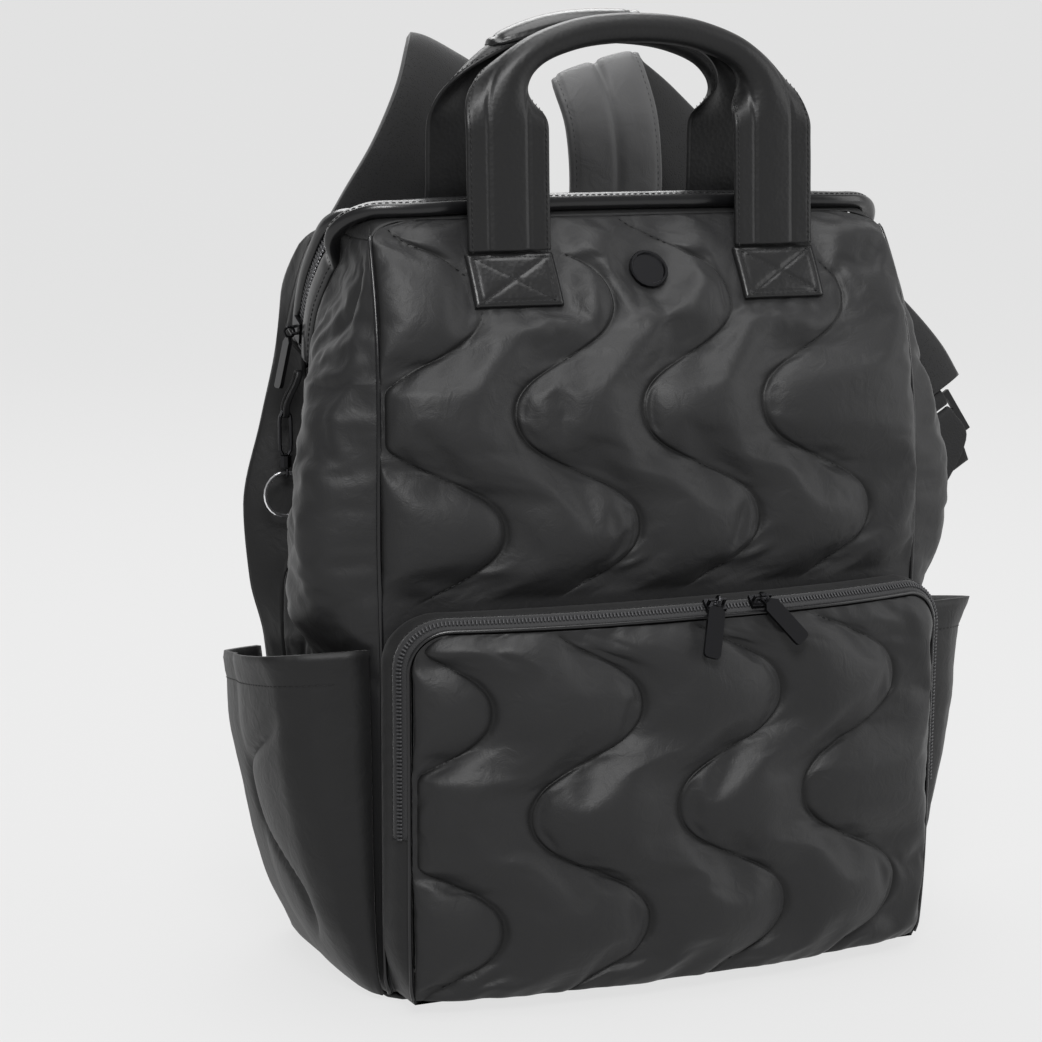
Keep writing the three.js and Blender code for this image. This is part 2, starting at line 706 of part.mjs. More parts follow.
function buildPatches() {
  [-1, 1].forEach((side) => {
    const name = side < 0 ? 'left' : 'right';
    const xs = spread(side * patchCentre - patchHalf, side * patchCentre + patchHalf, 4);
    const frontZ = spread(frontPatchFoot, patchTop, 3);
    place(`front_patch_${name}`, 'leather', layOn(frontPoint, forward, xs, frontZ, onFront, patchThickness, 2 * seat));
    const backZ = spread(backPatchFoot, backPatchTop, 3);
    const back = layOn(backPoint, backward, [...xs].reverse(), backZ, onBack, patchThickness);
    place(`back_patch_${name}`, 'leather', back);
  });
}

// Handle: a strap that is flat at its feet and rolls up into a round grip. The roll is worked out
// from the strap's width, which stays the same along the whole handle.
function buildHandle(name, feet, out) {
  const gripRadius = handleStrap / (2 * Math.PI * 0.94);
  const top = handleTop - gripRadius;
  const legX = patchCentre;
  const leanAt = (z) => feet.y + feet.lean * ((z - feet.z) / (handleTop - feet.z));
  const profile = [
    [1, mix(feet.z, archStart, 0.35)], [1, archStart], [0.99, mix(archStart, gripStart, 0.6)],
    [0.93, gripStart - 3], [0.78, mix(gripStart, top, 0.4)], [0.5, mix(gripStart, top, 0.82)],
    [0.2, top],
  ].map(([x, z]) => ({ x: x * legX, z }));
  const leg = (side) => [
    ...feet.start.map((p) => vec(side * legX, p.y, p.z)),
    ...profile.map((p) => vec(side * p.x, leanAt(p.z), p.z)),
  ];
  const curve = new THREE.CatmullRomCurve3([...leg(-1), ...leg(1).reverse()], false, 'centripetal');
  const across = spread(-0.5, 0.5, 6);
  const stations = spread(0, 1, 24);
  const layer = (inset) => stations.map((t) => {
    const at = curve.getPoint(t);
    const along = curve.getTangent(t);
    const normal = out.clone().addScaledVector(along, -out.dot(along)).normalize();
    const lateral = along.clone().cross(normal);
    const roll = 2 * Math.PI * 0.94 * fade(at.z, archStart - 12, gripStart + 5) + 0.02;
    const radius = handleStrap / roll;
    return across.map((a) => {
      const angle = a * roll;
      const reach = radius - inset;
      return at.clone().addScaledVector(lateral, reach * Math.sin(angle))
        .addScaledVector(normal, reach * Math.cos(angle) - radius);
    });
  });
  place(name, 'leather', sheetSolid(layer(0), layer(handleWall)));
  return { curve, gripRadius };
}

// Oval pad stitched over the top of the back handle's grip.
function buildGripPad(handle, out) {
  const { curve, gripRadius } = handle;
  const length = 0.2;
  const stations = spread(-1, 1, 8).map((t) => Math.sin((t * Math.PI) / 2));
  const layer = (lift) => stations.map((t) => {
    const at = curve.getPoint(0.44 + t * length * 0.5);
    const along = curve.getTangent(0.44 + t * length * 0.5);
    const normal = out.clone().addScaledVector(along, -out.dot(along)).normalize();
    const lateral = along.clone().cross(normal);
    const centre = at.clone().addScaledVector(normal, -gripRadius);
    const open = 0.35 + 1.15 * Math.sqrt(Math.max(0, 1 - t * t));
    return spread(-1, 1, 6).map((a) => {
      const angle = Math.PI * 0.5 + a * open;
      return centre.clone().addScaledVector(lateral, (gripRadius + lift) * Math.sin(angle))
        .addScaledVector(normal, (gripRadius + lift) * Math.cos(angle));
    });
  });
  place('back_grip_pad', 'leather', sheetSolid(layer(3 * seat + 1.8), layer(3 * seat)));
}

function buildHandles() {
  const u = (patchCentre - handleStrap / 2) / (bodyAt(patchTop).width - seamGap);
  const frontFoot = frontPoint(u, patchTop);
  const frontY = frontFoot.y - 2 * seat - handleWall;
  const frontFeet = {
    y: frontY, z: patchTop, lean: handleLean, start: [{ y: frontY, z: patchTop + patchThickness }],
  };
  buildHandle('front_handle', frontFeet, forward);
  const backFoot = backPoint(patchCentre / bodyAt(backPatchTop).backWidth, backPatchTop + 0.9);
  const backFeet = {
    y: backFoot.y - 4,
    z: panelTop,
    lean: -handleLean,
    start: [
      { y: backFoot.y, z: backFoot.z + handleWall + seat },
      { y: backFoot.y - 2.5, z: backFoot.z + handleWall + seat + 2.5 },
    ],
  };
  const back = buildHandle('back_handle', backFeet, backward);
  buildGripPad(back, backward);
}

function buildBadge() {
  const radius = badgeDiameter / 2;
  const profile = [
    [0, 0], [radius - 0.4, 0], [radius, 0.6], [radius, 2], [radius - 0.6, 2.6], [radius - 1.6, 2.6],
    [radius - 2.2, 1.6], [0, 1.6],
  ].map(([r, h]) => new THREE.Vector2(r, h));
  const mesh = place('badge', 'darkMetal', new THREE.LatheGeometry(profile, 20));
  const normal = outwardAt(frontPoint, 0, badgeHeight, forward);
  mesh.quaternion.setFromUnitVectors(vec(0, 1, 0), normal);
  mesh.position.copy(frontPoint(0, badgeHeight)).addScaledVector(normal, seat);
}

// Padded shoulder straps: centre line from the back panel up, over and down behind the bag, with the
// direction of the strap's width. Places are hand-chosen along the way the strap hangs.
const strapFoot = 340;
const strapTop = 471;
const strapRoutes = {
  left: [
    { x: -48, y: 12, z: 0, across: [1, 0, 0] },
    { x: -48, y: 12, z: 20, across: [1, 0, 0] },
    { x: -48, y: 12, z: 44, across: [1, 0, 0] },
    { x: -47, y: 13, z: 72, across: [1, 0, 0] },
    { x: -46, y: 13, z: 104, across: [1, 0, -0.1] },
    { x: -46, y: 11, z: 123, across: [0.95, 0, -0.3] },
    { x: -50, y: 2, z: 131, across: [0.88, 0, -0.47] },
    { x: -57, y: -8, z: 125, across: [0.85, 0.1, -0.5] },
    { x: -66, y: -14, z: 105, across: [0.86, 0.2, -0.45] },
    { x: -77, y: -14, z: 78, across: [0.92, 0.1, -0.38] },
    { x: -92, y: -4, z: 46, across: [0.9, 0, -0.4] },
    { x: -106, y: 11, z: 12, across: [0.95, 0, -0.3] },
    { x: -111, y: 15, z: -30, across: [1, 0, -0.1] },
    { x: -112, y: 16, z: -90, across: [1, 0, 0] },
    { x: -110, y: 16, z: -150, across: [1, 0, 0] },
    { x: -108, y: 15, z: -200, across: [1, 0, 0] },
  ],
  right: [
    { x: 48, y: 12, z: 0, across: [1, 0, 0] },
    { x: 49, y: 12, z: 20, across: [1, 0, 0] },
    { x: 51, y: 11, z: 40, across: [1, 0, 0] },
    { x: 52, y: 8, z: 61, across: [1, 0, 0] },
    { x: 49, y: 8, z: 98, across: [1, 0, 0.1] },
    { x: 45, y: 14, z: 119, across: [0.97, 0, 0.2] },
    { x: 47, y: 24, z: 126, across: [0.96, 0, 0.27] },
    { x: 56, y: 34, z: 119, across: [0.9, 0, 0.4] },
    { x: 82, y: 41, z: 98, across: [0.75, 0, 0.62] },
    { x: 122, y: 44, z: 64, across: [0.7, 0, 0.7] },
    { x: 166, y: 45, z: 30, across: [0.7, 0, 0.7] },
    { x: 210, y: 45, z: -2, across: [0.74, 0, 0.66] },
    { x: 243, y: 44, z: -30, across: [0.82, 0, 0.5] },
    { x: 265, y: 42, z: -54, across: [0.85, 0, 0.5] },
    { x: 276, y: 40, z: -72, across: [0.85, 0, 0.5] },
  ],
};

function strapLine(route) {
  const rise = (strapTop - strapFoot) / 131;
  const back = bodyAt(strapFoot).rear;
  const points = route.map((p) => vec(p.x, back + p.y, strapFoot + p.z * (p.z > 0 ? rise : 1)));
  const across = route.map((p) => vec(...p.across).normalize());
  return {
    centre: new THREE.CatmullRomCurve3(points, false, 'centripetal'),
    width: new THREE.CatmullRomCurve3(across, false, 'centripetal'),
  };
}

function ribbon(line, count, half, outerProfile, innerProfile) {
  const stations = spread(0, 1, count);
  const layer = (profile) => stations.map((t) => {
    const at = line.centre.getPoint(t);
    const across = line.width.getPoint(t).normalize();
    const out = across.clone().cross(line.centre.getTangent(t)).normalize();
    return profile.map(([a, lift]) => at.clone().addScaledVector(across, a * half).addScaledVector(out, lift));
  });
  return sheetSolid(layer(outerProfile), layer(innerProfile));
}

// Frame at the lower end of a padded strap: the way down, across and out.
function strapEnd(line) {
  const at = line.centre.getPoint(1);
  const down = line.centre.getTangent(1);
  const across = line.width.getPoint(1).normalize();
  const out = across.clone().cross(down).normalize();
  return { at, down, across: down.clone().cross(out).normalize().negate(), out };
}

const local = (frame, a, down, out) => frame.at.clone().addScaledVector(frame.across, a)
  .addScaledVector(frame.down, down).addScaledVector(frame.out, out);

function turned(geometry, origin, x, y, z) {
  const matrix = new THREE.Matrix4().makeBasis(x, y, z).setPosition(origin);
  return geometry.applyMatrix4(matrix);
}

const lockHalfHeight = lockSlot + 1.5 * lockBar;
const layerLift = lockThickness / 2 + seat + webbingThickness / 2;

function rectangle(path, x0, y0, x1, y1) {
  path.moveTo(x0, y0);
  path.lineTo(x1, y0);
  path.lineTo(x1, y1);
  path.lineTo(x0, y1);
  path.closePath();
  return path;
}

// Ladder lock: a frame with two slots between three bars.
function lockGeometry() {
  const half = webbingWidth / 2 + 5;
  const shape = rectangle(new THREE.Shape(), -half, -lockHalfHeight, half, lockHalfHeight);
  [-1, 1].forEach((side) => {
    const near = (side * lockBar) / 2;
    const far = near + side * lockSlot;
    const slot = rectangle(new THREE.Path(), 1.5 - webbingWidth / 2 - 3, near, webbingWidth / 2 + 1.5, far);
    shape.holes.push(slot);
  });
  const geometry = new THREE.ExtrudeGeometry(shape, { depth: lockThickness, bevelEnabled: false });
  return geometry.translate(0, 0, -lockThickness / 2);
}

// Strip that follows a line of places with its width along given directions.
function strip(points, across, half, thickness, count) {
  const line = {
    centre: new THREE.CatmullRomCurve3(points, false, 'centripetal'),
    width: new THREE.CatmullRomCurve3(across, false, 'centripetal'),
  };
  const edge = (lift) => [-1, 1].map((a) => [a, lift]);
  return ribbon(line, count, half, edge(thickness / 2), edge(-thickness / 2));
}

function buildStrapEnds(side, sign, line, pad) {
  const end = strapEnd(line);
  const top = lockDrop - lockSlot - lockBar;
  const loopPath = [[-8, 1.1], [-1, 1.1], [top - 2, layerLift], [top + 1, layerLift], [top + 3.6, 1.8],
    [top + 4.4, 0], [top + 3.6, -1.8], [top + 1, -layerLift], [top - 2, -layerLift], [-1, -1.1], [-8, -1.1]];
  const loop = strip(
    loopPath.map(([down, out]) => local(end, 0, down, out)),
    loopPath.map(() => end.across.clone()),
    webbingWidth / 2,
    webbingThickness,
    14,
  );
  place(`${side}_shoulder_strap`, 'nylon', join(pad, loop));
  const lock = turned(lockGeometry(), local(end, 0, lockDrop, 0), end.across, end.down.clone().negate(), end.out);
  place(`${side}_ladder_lock`, 'plastic', lock);

  const hang = [[34, 12], [14, layerLift + 2], [0, layerLift], [-3.4, 2.1], [-4.6, 0], [-3.4, -2.1],
    [0, -layerLift], [16, -layerLift]];
  const anchorX = sign * (halfWidth - 18);
  const seatY = (z) => backPoint(onBack(anchorX, z), z).y + 2 * seat + webbingThickness / 2;
  const along = backPoint(onBack(anchorX + 5, 30), 30).sub(backPoint(onBack(anchorX - 5, 30), 30)).normalize();
  const last = local(end, 0, lockDrop + 16, -layerLift);
  const low = [
    vec(mix(last.x, anchorX, 0.4), last.y - 4, mix(last.z, 60, 0.45)),
    vec(mix(last.x, anchorX, 0.85), seatY(90) + 4, mix(last.z, 60, 0.85)),
    vec(anchorX, seatY(42) + 1, 42),
    vec(anchorX, seatY(28) + 0.2, 28),
    vec(anchorX, seatY(16), 16),
  ];
  const points = [...hang.map(([down, out]) => local(end, 0, lockDrop + down, out)), ...low];
  const across = [...hang.map(() => end.across.clone()), ...low.map(() => along.clone())];
  place(`${side}_webbing`, 'tape', strip(points, across, webbingWidth / 2, webbingThickness, 30));

  const xs = spread(anchorX + webbingWidth / 2 + 4, anchorX - webbingWidth / 2 - 4, 2);
  const lift = 4 * seat + webbingThickness + 0.6;
  const tab = layOn(backPoint, backward, xs, spread(12, 32, 2), onBack, 2, lift);
  place(`${side}_strap_anchor`, 'leather', tab);
}

function buildStraps() {
  const half = strapWidth / 2;
  const rise = strapThickness / 2;
  const face = [[-1, 0.3], [-0.6, 0.95], [0, 0.4], [0.6, 0.95], [1, 0.3]].map(([a, lift]) => [a, lift * rise]);
  const lining = [[-1, -0.3], [-0.75, -0.9], [0.75, -0.9], [1, -0.3]].map(([a, lift]) => [a, lift * rise]);
  Object.entries(strapRoutes).forEach(([side, route]) => {
    const line = strapLine(route);
    buildStrapEnds(side, side === 'left' ? -1 : 1, line, ribbon(line, 22, half, face, lining));
  });
}

// Zip of the front pocket, on the wall's shoulder from one side over the top to the other.
const pocketZipLift = 0.6;

function pocketZipPath() {
  const outline = pocketOutline().filter((q) => q.out === 1 && q.z > pocketZipEnd - 2);
  return outline.map((q) => {
    const faceEdge = pocketPoint(q.x, q.z, pocketDepth);
    const w = wallSection[1];
    const out = pocketShoulder * w.shoulder;
    const backEdge = pocketPoint(q.x + q.nx * out, q.z + q.nz * out, w.depth * pocketDepth);
    return { edge: faceEdge, back: backEdge, out: vec(q.nx, -1, q.nz).normalize() };
  });
}

function buildPocketZip() {
  const path = pocketZipPath();
  const at = (q, share, lift) => q.edge.clone().lerp(q.back, share).addScaledVector(q.out, pocketZipLift + lift);
  const outer = path.map((q) => [at(q, 0.92, 0.8), at(q, 0.5, 1.5), at(q, 0.08, 0.8)]);
  const inner = path.map((q) => [at(q, 0.92, 0), at(q, 0.08, 0)]);
  place('front_pocket_zip', 'tape', sheetSolid(outer, inner));
}

// Slider: plate with a bridge. Local x runs along the bridge, z points out.
function sliderGeometry(alongBar, acrossBar) {
  const plate = new THREE.BoxGeometry(alongBar, acrossBar, sliderPlate);
  plate.translate(0, 0, sliderPlate / 2);
  const height = sliderPlate + bridgeHeight;
  const bar = new THREE.BoxGeometry(alongBar - 1, bridgeBar, bridgeBar);
  bar.translate(0, 0, height);
  const posts = [-1, 1].map((end) => {
    const post = new THREE.BoxGeometry(1.4, bridgeBar, height - 0.5);
    return post.translate(end * (alongBar / 2 - 1.2), 0, (height - 0.5) / 2 + 0.5);
  });
  return join(plate, bar, ...posts);
}

// Pull: an eye and a rounded tab that hangs along local -z, with the eye's axis along local x.
function pullGeometry() {
  const eye = new THREE.TorusGeometry(eyeRadius, eyeWire, 6, 14);
  eye.rotateY(Math.PI / 2);
  const half = tabWidth / 2;
  const shape = new THREE.Shape();
  const corner = 2.5;
  shape.moveTo(-half + corner, -tabLength);
  shape.lineTo(half - corner, -tabLength);
  shape.quadraticCurveTo(half, -tabLength, half, -tabLength + corner);
  shape.lineTo(half, -corner);
  shape.lineTo(half - corner, 0);
  shape.lineTo(-half + corner, 0);
  shape.lineTo(-half, -corner);
  shape.lineTo(-half, -tabLength + corner);
  shape.quadraticCurveTo(-half, -tabLength, -half + corner, -tabLength);
  const tab = new THREE.ExtrudeGeometry(shape, { depth: tabThickness, bevelEnabled: false, curveSegments: 3 });
  tab.translate(0, 0, -tabThickness / 2);
  tab.rotateX(Math.PI / 2);
  tab.translate(0, 0, -eyeRadius - 0.25);
  return join(eye, tab);
}

function placeSlider(name, at, bar, out, plateAlong, plateAcross) {
  const side = out.clone().cross(bar).normalize();
  place(name, 'darkMetal', turned(sliderGeometry(plateAlong, plateAcross), at, bar, side, out));
}

// Hangs a pull from a bridge: lean tips it away from the wall, splay turns it sideways.
function placePull(name, bridge, facing, lean, splay) {
  const level = vec(0, 0, 1).cross(facing).normalize();
  const down = facing.clone().multiplyScalar(Math.sin(lean)).addScaledVector(vec(0, 0, 1), -Math.cos(lean));
  const thick = facing.clone().multiplyScalar(Math.cos(lean)).addScaledVector(vec(0, 0, 1), Math.sin(lean));
  const hang = down.clone().multiplyScalar(Math.cos(splay)).addScaledVector(level, Math.sin(splay));
  const up = hang.clone().negate();
  const width = thick.clone().negate().cross(up).normalize();
  const origin = bridge.clone().addScaledVector(hang, eyeDrop);
  place(name, 'darkMetal', turned(pullGeometry(), origin, width, thick.clone().negate(), up));
}

function buildPocketPulls() {
  const path = pocketZipPath();
  [['left', 8, -18], ['right', 34, 36]].forEach(([side, x, splay]) => {
    const k = path.findIndex((q) => q.edge.x > x);
    const t = (x - path[k - 1].edge.x) / (path[k].edge.x - path[k - 1].edge.x);
    const edge = path[k - 1].edge.clone().lerp(path[k].edge, t);
    const back = path[k - 1].back.clone().lerp(path[k].back, t);
    const out = path[k].out;
    const centre = edge.lerp(back, 0.5).addScaledVector(out, pocketZipLift + 1.5 + 2.5 * seat);
    const bridge = centre.clone().addScaledVector(out, sliderPlate + bridgeHeight);
    placeSlider(`front_pocket_slider_${side}`, centre, vec(1, 0, 0), out, 11, 7);
    placePull(`front_pocket_pull_${side}`, bridge, forward, pocketPullLean, (splay * Math.PI) / 180);
  });
}

function buildMainPull() {
  const frame = mouthFrames(60)[2];
  const centre = shift(frame, 0, 2.2 + seat);
  const bridge = centre.clone().addScaledVector(frame.out, sliderPlate + bridgeHeight);
  placeSlider('main_zip_slider', centre, frame.front, frame.out, 9.4, 12);
  placePull('main_zip_pull', bridge, vec(-1, 0, 0), mainPullLean, 0);
}

// Round bar bent along a path that may close on itself.
function barLoop(path, radius, count, sides) {
  const curve = new THREE.CatmullRomCurve3(path, true, 'centripetal');
  return new THREE.TubeGeometry(curve, count, radius, sides, true);
}

// Oval path in the x-z plane.
function oval(centre, halfWide, halfHigh, count) {
  return spread(0, 2 * Math.PI, count).slice(0, -1).map((a) => {
    const straight = halfHigh - halfWide;
    return vec(
      centre.x + halfWide * Math.cos(a),
      centre.y,
      centre.z + halfWide * Math.sin(a) + straight * Math.tanh(3 * Math.sin(a)),
    );
  });
}

function buildLeash() {
  const leashTop = zipEndHeight - leashBelowZip;
  const leashY = bodyAt(zipEndHeight).zip + leashBehindZip;
  const surfaceX = (z) => sidePoint(-1, sideShare(leashY, z), z).x;
  const ringDrop = loopHeight + linkHeight + barrelHeight + 2 * hookEyeRadius;
  const ringReach = ringRadius + ringWire + seat;
  const besideRing = spread(0, 2 * ringReach, 6).map((drop) => surfaceX(leashTop - ringDrop - drop) - ringReach);
  const linkX = Math.min(surfaceX(leashTop) - linkClear, ...besideRing);
  const loopMiddle = vec(0, 0, leashTop - loopHeight / 2);
  const loopX = (z) => mix(linkX, surfaceX(leashTop) - 2 * strandHalf, fade(z, leashTop - loopHeight + 4, leashTop));
  const rowOf = (grow) => oval(loopMiddle, 2.3 + grow, loopHeight / 2 + grow, 12)
    .map((p) => [strandHalf, -strandHalf].map((a) => vec(loopX(p.z) + a, leashY + p.x, p.z)));
  place('leash_loop', 'leather', sheetSolid(rowOf(0.6), rowOf(-0.6), true));
  const foot = leashTop - loopHeight - 0.6;

  const linkCentre = vec(linkX, leashY, foot + 1.2 + seat + linkWire - linkHeight / 2 + 1.5);
  const link = barLoop(oval(linkCentre, 3.1, linkHeight / 2, 12), linkWire, 18, 6);
  const barrel = new THREE.CylinderGeometry(barrelRadius, barrelRadius, barrelHeight, 10);
  barrel.rotateX(Math.PI / 2);
  const barrelZ = linkCentre.z - (linkHeight + barrelHeight) / 2;
  barrel.translate(linkX, leashY, barrelZ);
  const eyeZ = barrelZ - barrelHeight / 2 - 2.4;
  const eye = new THREE.TorusGeometry(hookEyeRadius, hookEyeWire, 6, 12);
  eye.rotateY(Math.PI / 2);
  eye.translate(linkX, leashY, eyeZ);
  place('snap_hook', 'steel', join(link, barrel, eye));

  const ring = new THREE.TorusGeometry(ringRadius, ringWire, 6, 24);
  ring.rotateX(Math.PI / 2);
  ring.translate(linkX, leashY, eyeZ - hookEyeRadius + hookEyeWire + ringWire + seat - ringRadius);
  place('key_ring', 'steel', ring);
}

buildFrontPanel();
buildBackPanel();
buildSidePanels(-1, 'left');
buildSidePanels(1, 'right');
buildBase();
buildPocketFace();
buildPocketWall();
buildPocketZip();
buildPocketPulls();
buildSidePocket(-1, 'left');
buildSidePocket(1, 'right');
buildMouth();
buildMainPull();
buildPatches();
buildHandles();
buildBadge();
buildStraps();
buildLeash();

export default group;
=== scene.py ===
import math

import bpy
import numpy as np
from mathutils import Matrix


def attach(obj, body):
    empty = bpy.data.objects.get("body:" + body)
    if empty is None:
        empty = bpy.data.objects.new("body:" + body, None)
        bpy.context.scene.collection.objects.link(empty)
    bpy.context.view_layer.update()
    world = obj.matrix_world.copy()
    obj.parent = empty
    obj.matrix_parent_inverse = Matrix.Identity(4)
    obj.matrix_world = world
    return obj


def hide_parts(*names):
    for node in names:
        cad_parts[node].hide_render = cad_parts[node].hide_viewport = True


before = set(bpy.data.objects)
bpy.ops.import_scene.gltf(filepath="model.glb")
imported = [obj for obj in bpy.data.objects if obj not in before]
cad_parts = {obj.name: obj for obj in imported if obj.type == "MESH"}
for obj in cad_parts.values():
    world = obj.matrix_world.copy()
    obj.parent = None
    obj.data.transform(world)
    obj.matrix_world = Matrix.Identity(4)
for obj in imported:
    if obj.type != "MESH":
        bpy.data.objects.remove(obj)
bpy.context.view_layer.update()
BAG = "bag"
MM = 0.001

# Driving sizes, in millimetres, as in the frame
BODY_WIDTH = 300
BODY_DEPTH = 144
PANEL_TOP = 392.5
FRONT_CROWN = 16
SIDE_ROLL = 30
SIDE_VALLEY = 18
SEAM_GAP = 0.35
SEAT = 0.3
WALL = 3
FOOT = 3.3
QUILT_PITCH = 71
QUILT_SWING = 31
QUILT_PERIOD = 112
QUILT_DRIFT = 0.11
UPPER_BULGE = 240
POCKET_BULGE = 156
POCKET_TOP = 196
POCKET_DEPTH = 27
POCKET_CROWN = 7
POCKET_SHOULDER = 7
POCKET_INSET = 3
POCKET_CORNER = 20
POCKET_ZIP_END = 93
HEM_FRONT = 183
HEM_BACK = 160
SIDE_POCKET_BULGE = 37
SIDE_POCKET_WALL = 2.6
ZIP_FOOT = 322
MOUTH_Y = -26
MOUTH_Z = 397.5
MOUTH_ARCH = 2
MOUTH_CORNER = 24
MOUTH_DROP = 11
ZIP_HALF = 4.2
BINDING_FRONT_HALF = 7
BINDING_FRONT_HEIGHT = 9
BINDING_BACK_HALF = 4
BINDING_BACK_HEIGHT = 7
HANDLE_STRAP = 45
HANDLE_WALL = 3
HANDLE_X = 75
HANDLE_LEAN = 4
HANDLE_TOP = 494
GRIP_START = 466
ARCH_START = 428
PATCH_TOP = 374
PATCH_HEIGHT = 25
PATCH_THICK = 2.6
STRAP_WIDTH = 56
STRAP_THICK = 11
WEBBING_WIDTH = 24
WEBBING_THICK = 2
BADGE_DIAMETER = 21
BADGE_Z = 365
HALF = BODY_WIDTH / 2

# Shares of the driving sizes from the base up, as in the part's source
BODY = {
    "at": [0, 0.04, 0.15, 0.42, 0.5, 0.6, 0.72, 0.82, 0.885, 0.955, 0.98, 1],
    "width": [0.965, 0.995, 1.005, 1.01, 1.015, 1.02, 1.015, 1.005, 0.995, 0.98, 0.972, 0.965],
    "back_width": [0.965, 0.99, 1.02, 1.08, 1.13, 1.15, 1.08, 1.02, 1, 0.985, 0.972, 0.96],
    "front": [0.95, 0.99, 1.02, 1.05, 1.06, 1.06, 1.05, 0.99, 0.9, 0.74, 0.665, 0.6],
    "rear": [0.95, 0.99, 1, 1, 1, 1, 1, 1, 1, 0.7, 0.4, -0.19],
    "zip": [0.7, 0.72, 0.74, 0.76, 0.76, 0.76, 0.76, 0.7, 0.5, 0.15, 0, -0.14],
    "crown": [0.75, 0.85, 1, 1, 1, 1, 0.95, 0.75, 0.5, 0.2, 0.1, 0.05],
    "roll": [0.05, 0.1, 0.15, 0.25, 0.7, 1, 0.9, 0.45, 0.1, 0, 0, 0],
}
SIDE_PROFILE = {
    "at": [0, 0.07, 0.17, 0.3, 0.45, 0.6, 0.74, 0.88, 1],
    "out": [0, 0.62, 0.95, 1, 0.72, 0, -0.7, -0.5, 0],
}
POCKET_RISE = {"at": [0, 0.2, 0.5, 0.8, 1], "out": [0.1, 0.42, 0.72, 0.93, 1]}
POCKET_SPAN = {"at": [0, 0.06, 0.18, 0.5, 0.8, 0.95, 1], "out": [0.06, 0.7, 1, 1.04, 0.85, 0.35, 0.06]}


def column(table, name, at):
    """Smooth curve through one column of a table, without overshoot."""
    x = np.array(table["at"], float)
    y = np.array(table[name], float)
    at = np.clip(np.asarray(at, float), x[0], x[-1])
    rise = np.diff(y) / np.diff(x)
    before = np.concatenate([rise[:1], rise])
    after = np.concatenate([rise, rise[-1:]])
    product = before * after
    total = np.where(np.abs(before + after) < 1e-12, 1, before + after)
    slope = np.where(product <= 0, 0, 2 * product / total)
    k = np.clip(np.searchsorted(x, at, side="right") - 1, 0, len(x) - 2)
    step = x[k + 1] - x[k]
    t = (at - x[k]) / step
    t2, t3 = t * t, t * t * t
    low = (2 * t3 - 3 * t2 + 1) * y[k] + (t3 - 2 * t2 + t) * step * slope[k]
    return low + (3 * t2 - 2 * t3) * y[k + 1] + (t3 - t2) * step * slope[k + 1]


def fade(x, low, high):
    t = np.clip((np.asarray(x, float) - low) / (high - low), 0, 1)
    return t * t * (3 - 2 * t)


def mix(a, b, t):
    return a + (b - a) * t


def unit(v):
    v = np.asarray(v, float)
    return v / np.maximum(np.linalg.norm(v, axis=-1, keepdims=True), 1e-9)


class Body:
    """Body sizes at heights z."""

    def __init__(self, z):
        at = np.asarray(z, float) / PANEL_TOP
        self.width = column(BODY, "width", at) * HALF
        self.back_width = column(BODY, "back_width", at) * HALF
        self.front = column(BODY, "front", at) * BODY_DEPTH / 2
        self.rear = column(BODY, "rear", at) * BODY_DEPTH / 2
        self.zip = column(BODY, "zip", at) * BODY_DEPTH / 2
        self.crown = column(BODY, "crown", at) * FRONT_CROWN
        self.roll = column(BODY, "roll", at) * SIDE_ROLL


def crown_shape(u):
    return 1 - np.abs(u) ** 2.4


def corner_take(z):
    share = np.clip((z - PANEL_TOP) / MOUTH_DROP + 1, 0, 1)
    return MOUTH_CORNER * (1 - np.sqrt(1 - share * share))


def points(x, y, z):
    x, y, z = np.broadcast_arrays(np.asarray(x, float), y, z)
    return np.stack([x, y, z], axis=-1)


def front_point(u, z, inset=0):
    b = Body(z)
    x = u * (b.width - inset - SEAM_GAP - corner_take(z))
    return points(x, inset - (b.front + b.crown * crown_shape(u)), z)


def back_point(u, z, inset=0):
    b = Body(z)
    x = u * (b.back_width - inset - SEAM_GAP - corner_take(z))
    return points(x, b.rear - inset + 0.4 * b.crown * crown_shape(u), z)


def valley_at(s, z):
    reach = 0.16
    across = np.clip((s - 1 + reach) / reach, -1, 1)
    along = fade(z, HEM_FRONT + 12, 235) * (1 - fade(z, 272, ZIP_FOOT - 8))
    return SIDE_VALLEY * along * (0.5 + 0.5 * np.cos(math.pi * across))


def side_point(side, s, z, inset=0):
    b = Body(z)
    out = mix(b.width, b.back_width, s) - inset + b.roll * column(SIDE_PROFILE, "out", s) - valley_at(s, z)
    return points(side * out, mix(-b.front + inset + SEAM_GAP, b.rear - inset - SEAM_GAP, s), z)


def side_share(y, z):
    b = Body(z)
    return (y + b.front) / (b.front + b.rear)


def smooth_path(places, count):
    """Centripetal curve through given places, as count + 1 points."""
    p = np.asarray(places, float)
    p = np.vstack([2 * p[0] - p[1], p, 2 * p[-1] - p[-2]])
    out = []
    last = len(p) - 3
    for t in np.linspace(0, last, count + 1):
        k = min(int(t), last - 1)
        w = t - k
        a, b, c, d = p[k : k + 4]
        d0, d1, d2 = [max(np.linalg.norm(v) ** 0.5, 1e-6) for v in (b - a, c - b, d - c)]
        t1 = ((b - a) / d0 - (c - a) / (d0 + d1) + (c - b) / d1) * d1
        t2 = ((c - b) / d1 - (d - b) / (d1 + d2) + (d - c) / d2) * d1
        out.append(b + t1 * w + (3 * (c - b) - 2 * t1 - t2) * w**2 + (2 * (b - c) + t1 + t2) * w**3)
    return np.array(out)


def tangents(path):
    return unit(np.gradient(path, axis=0))


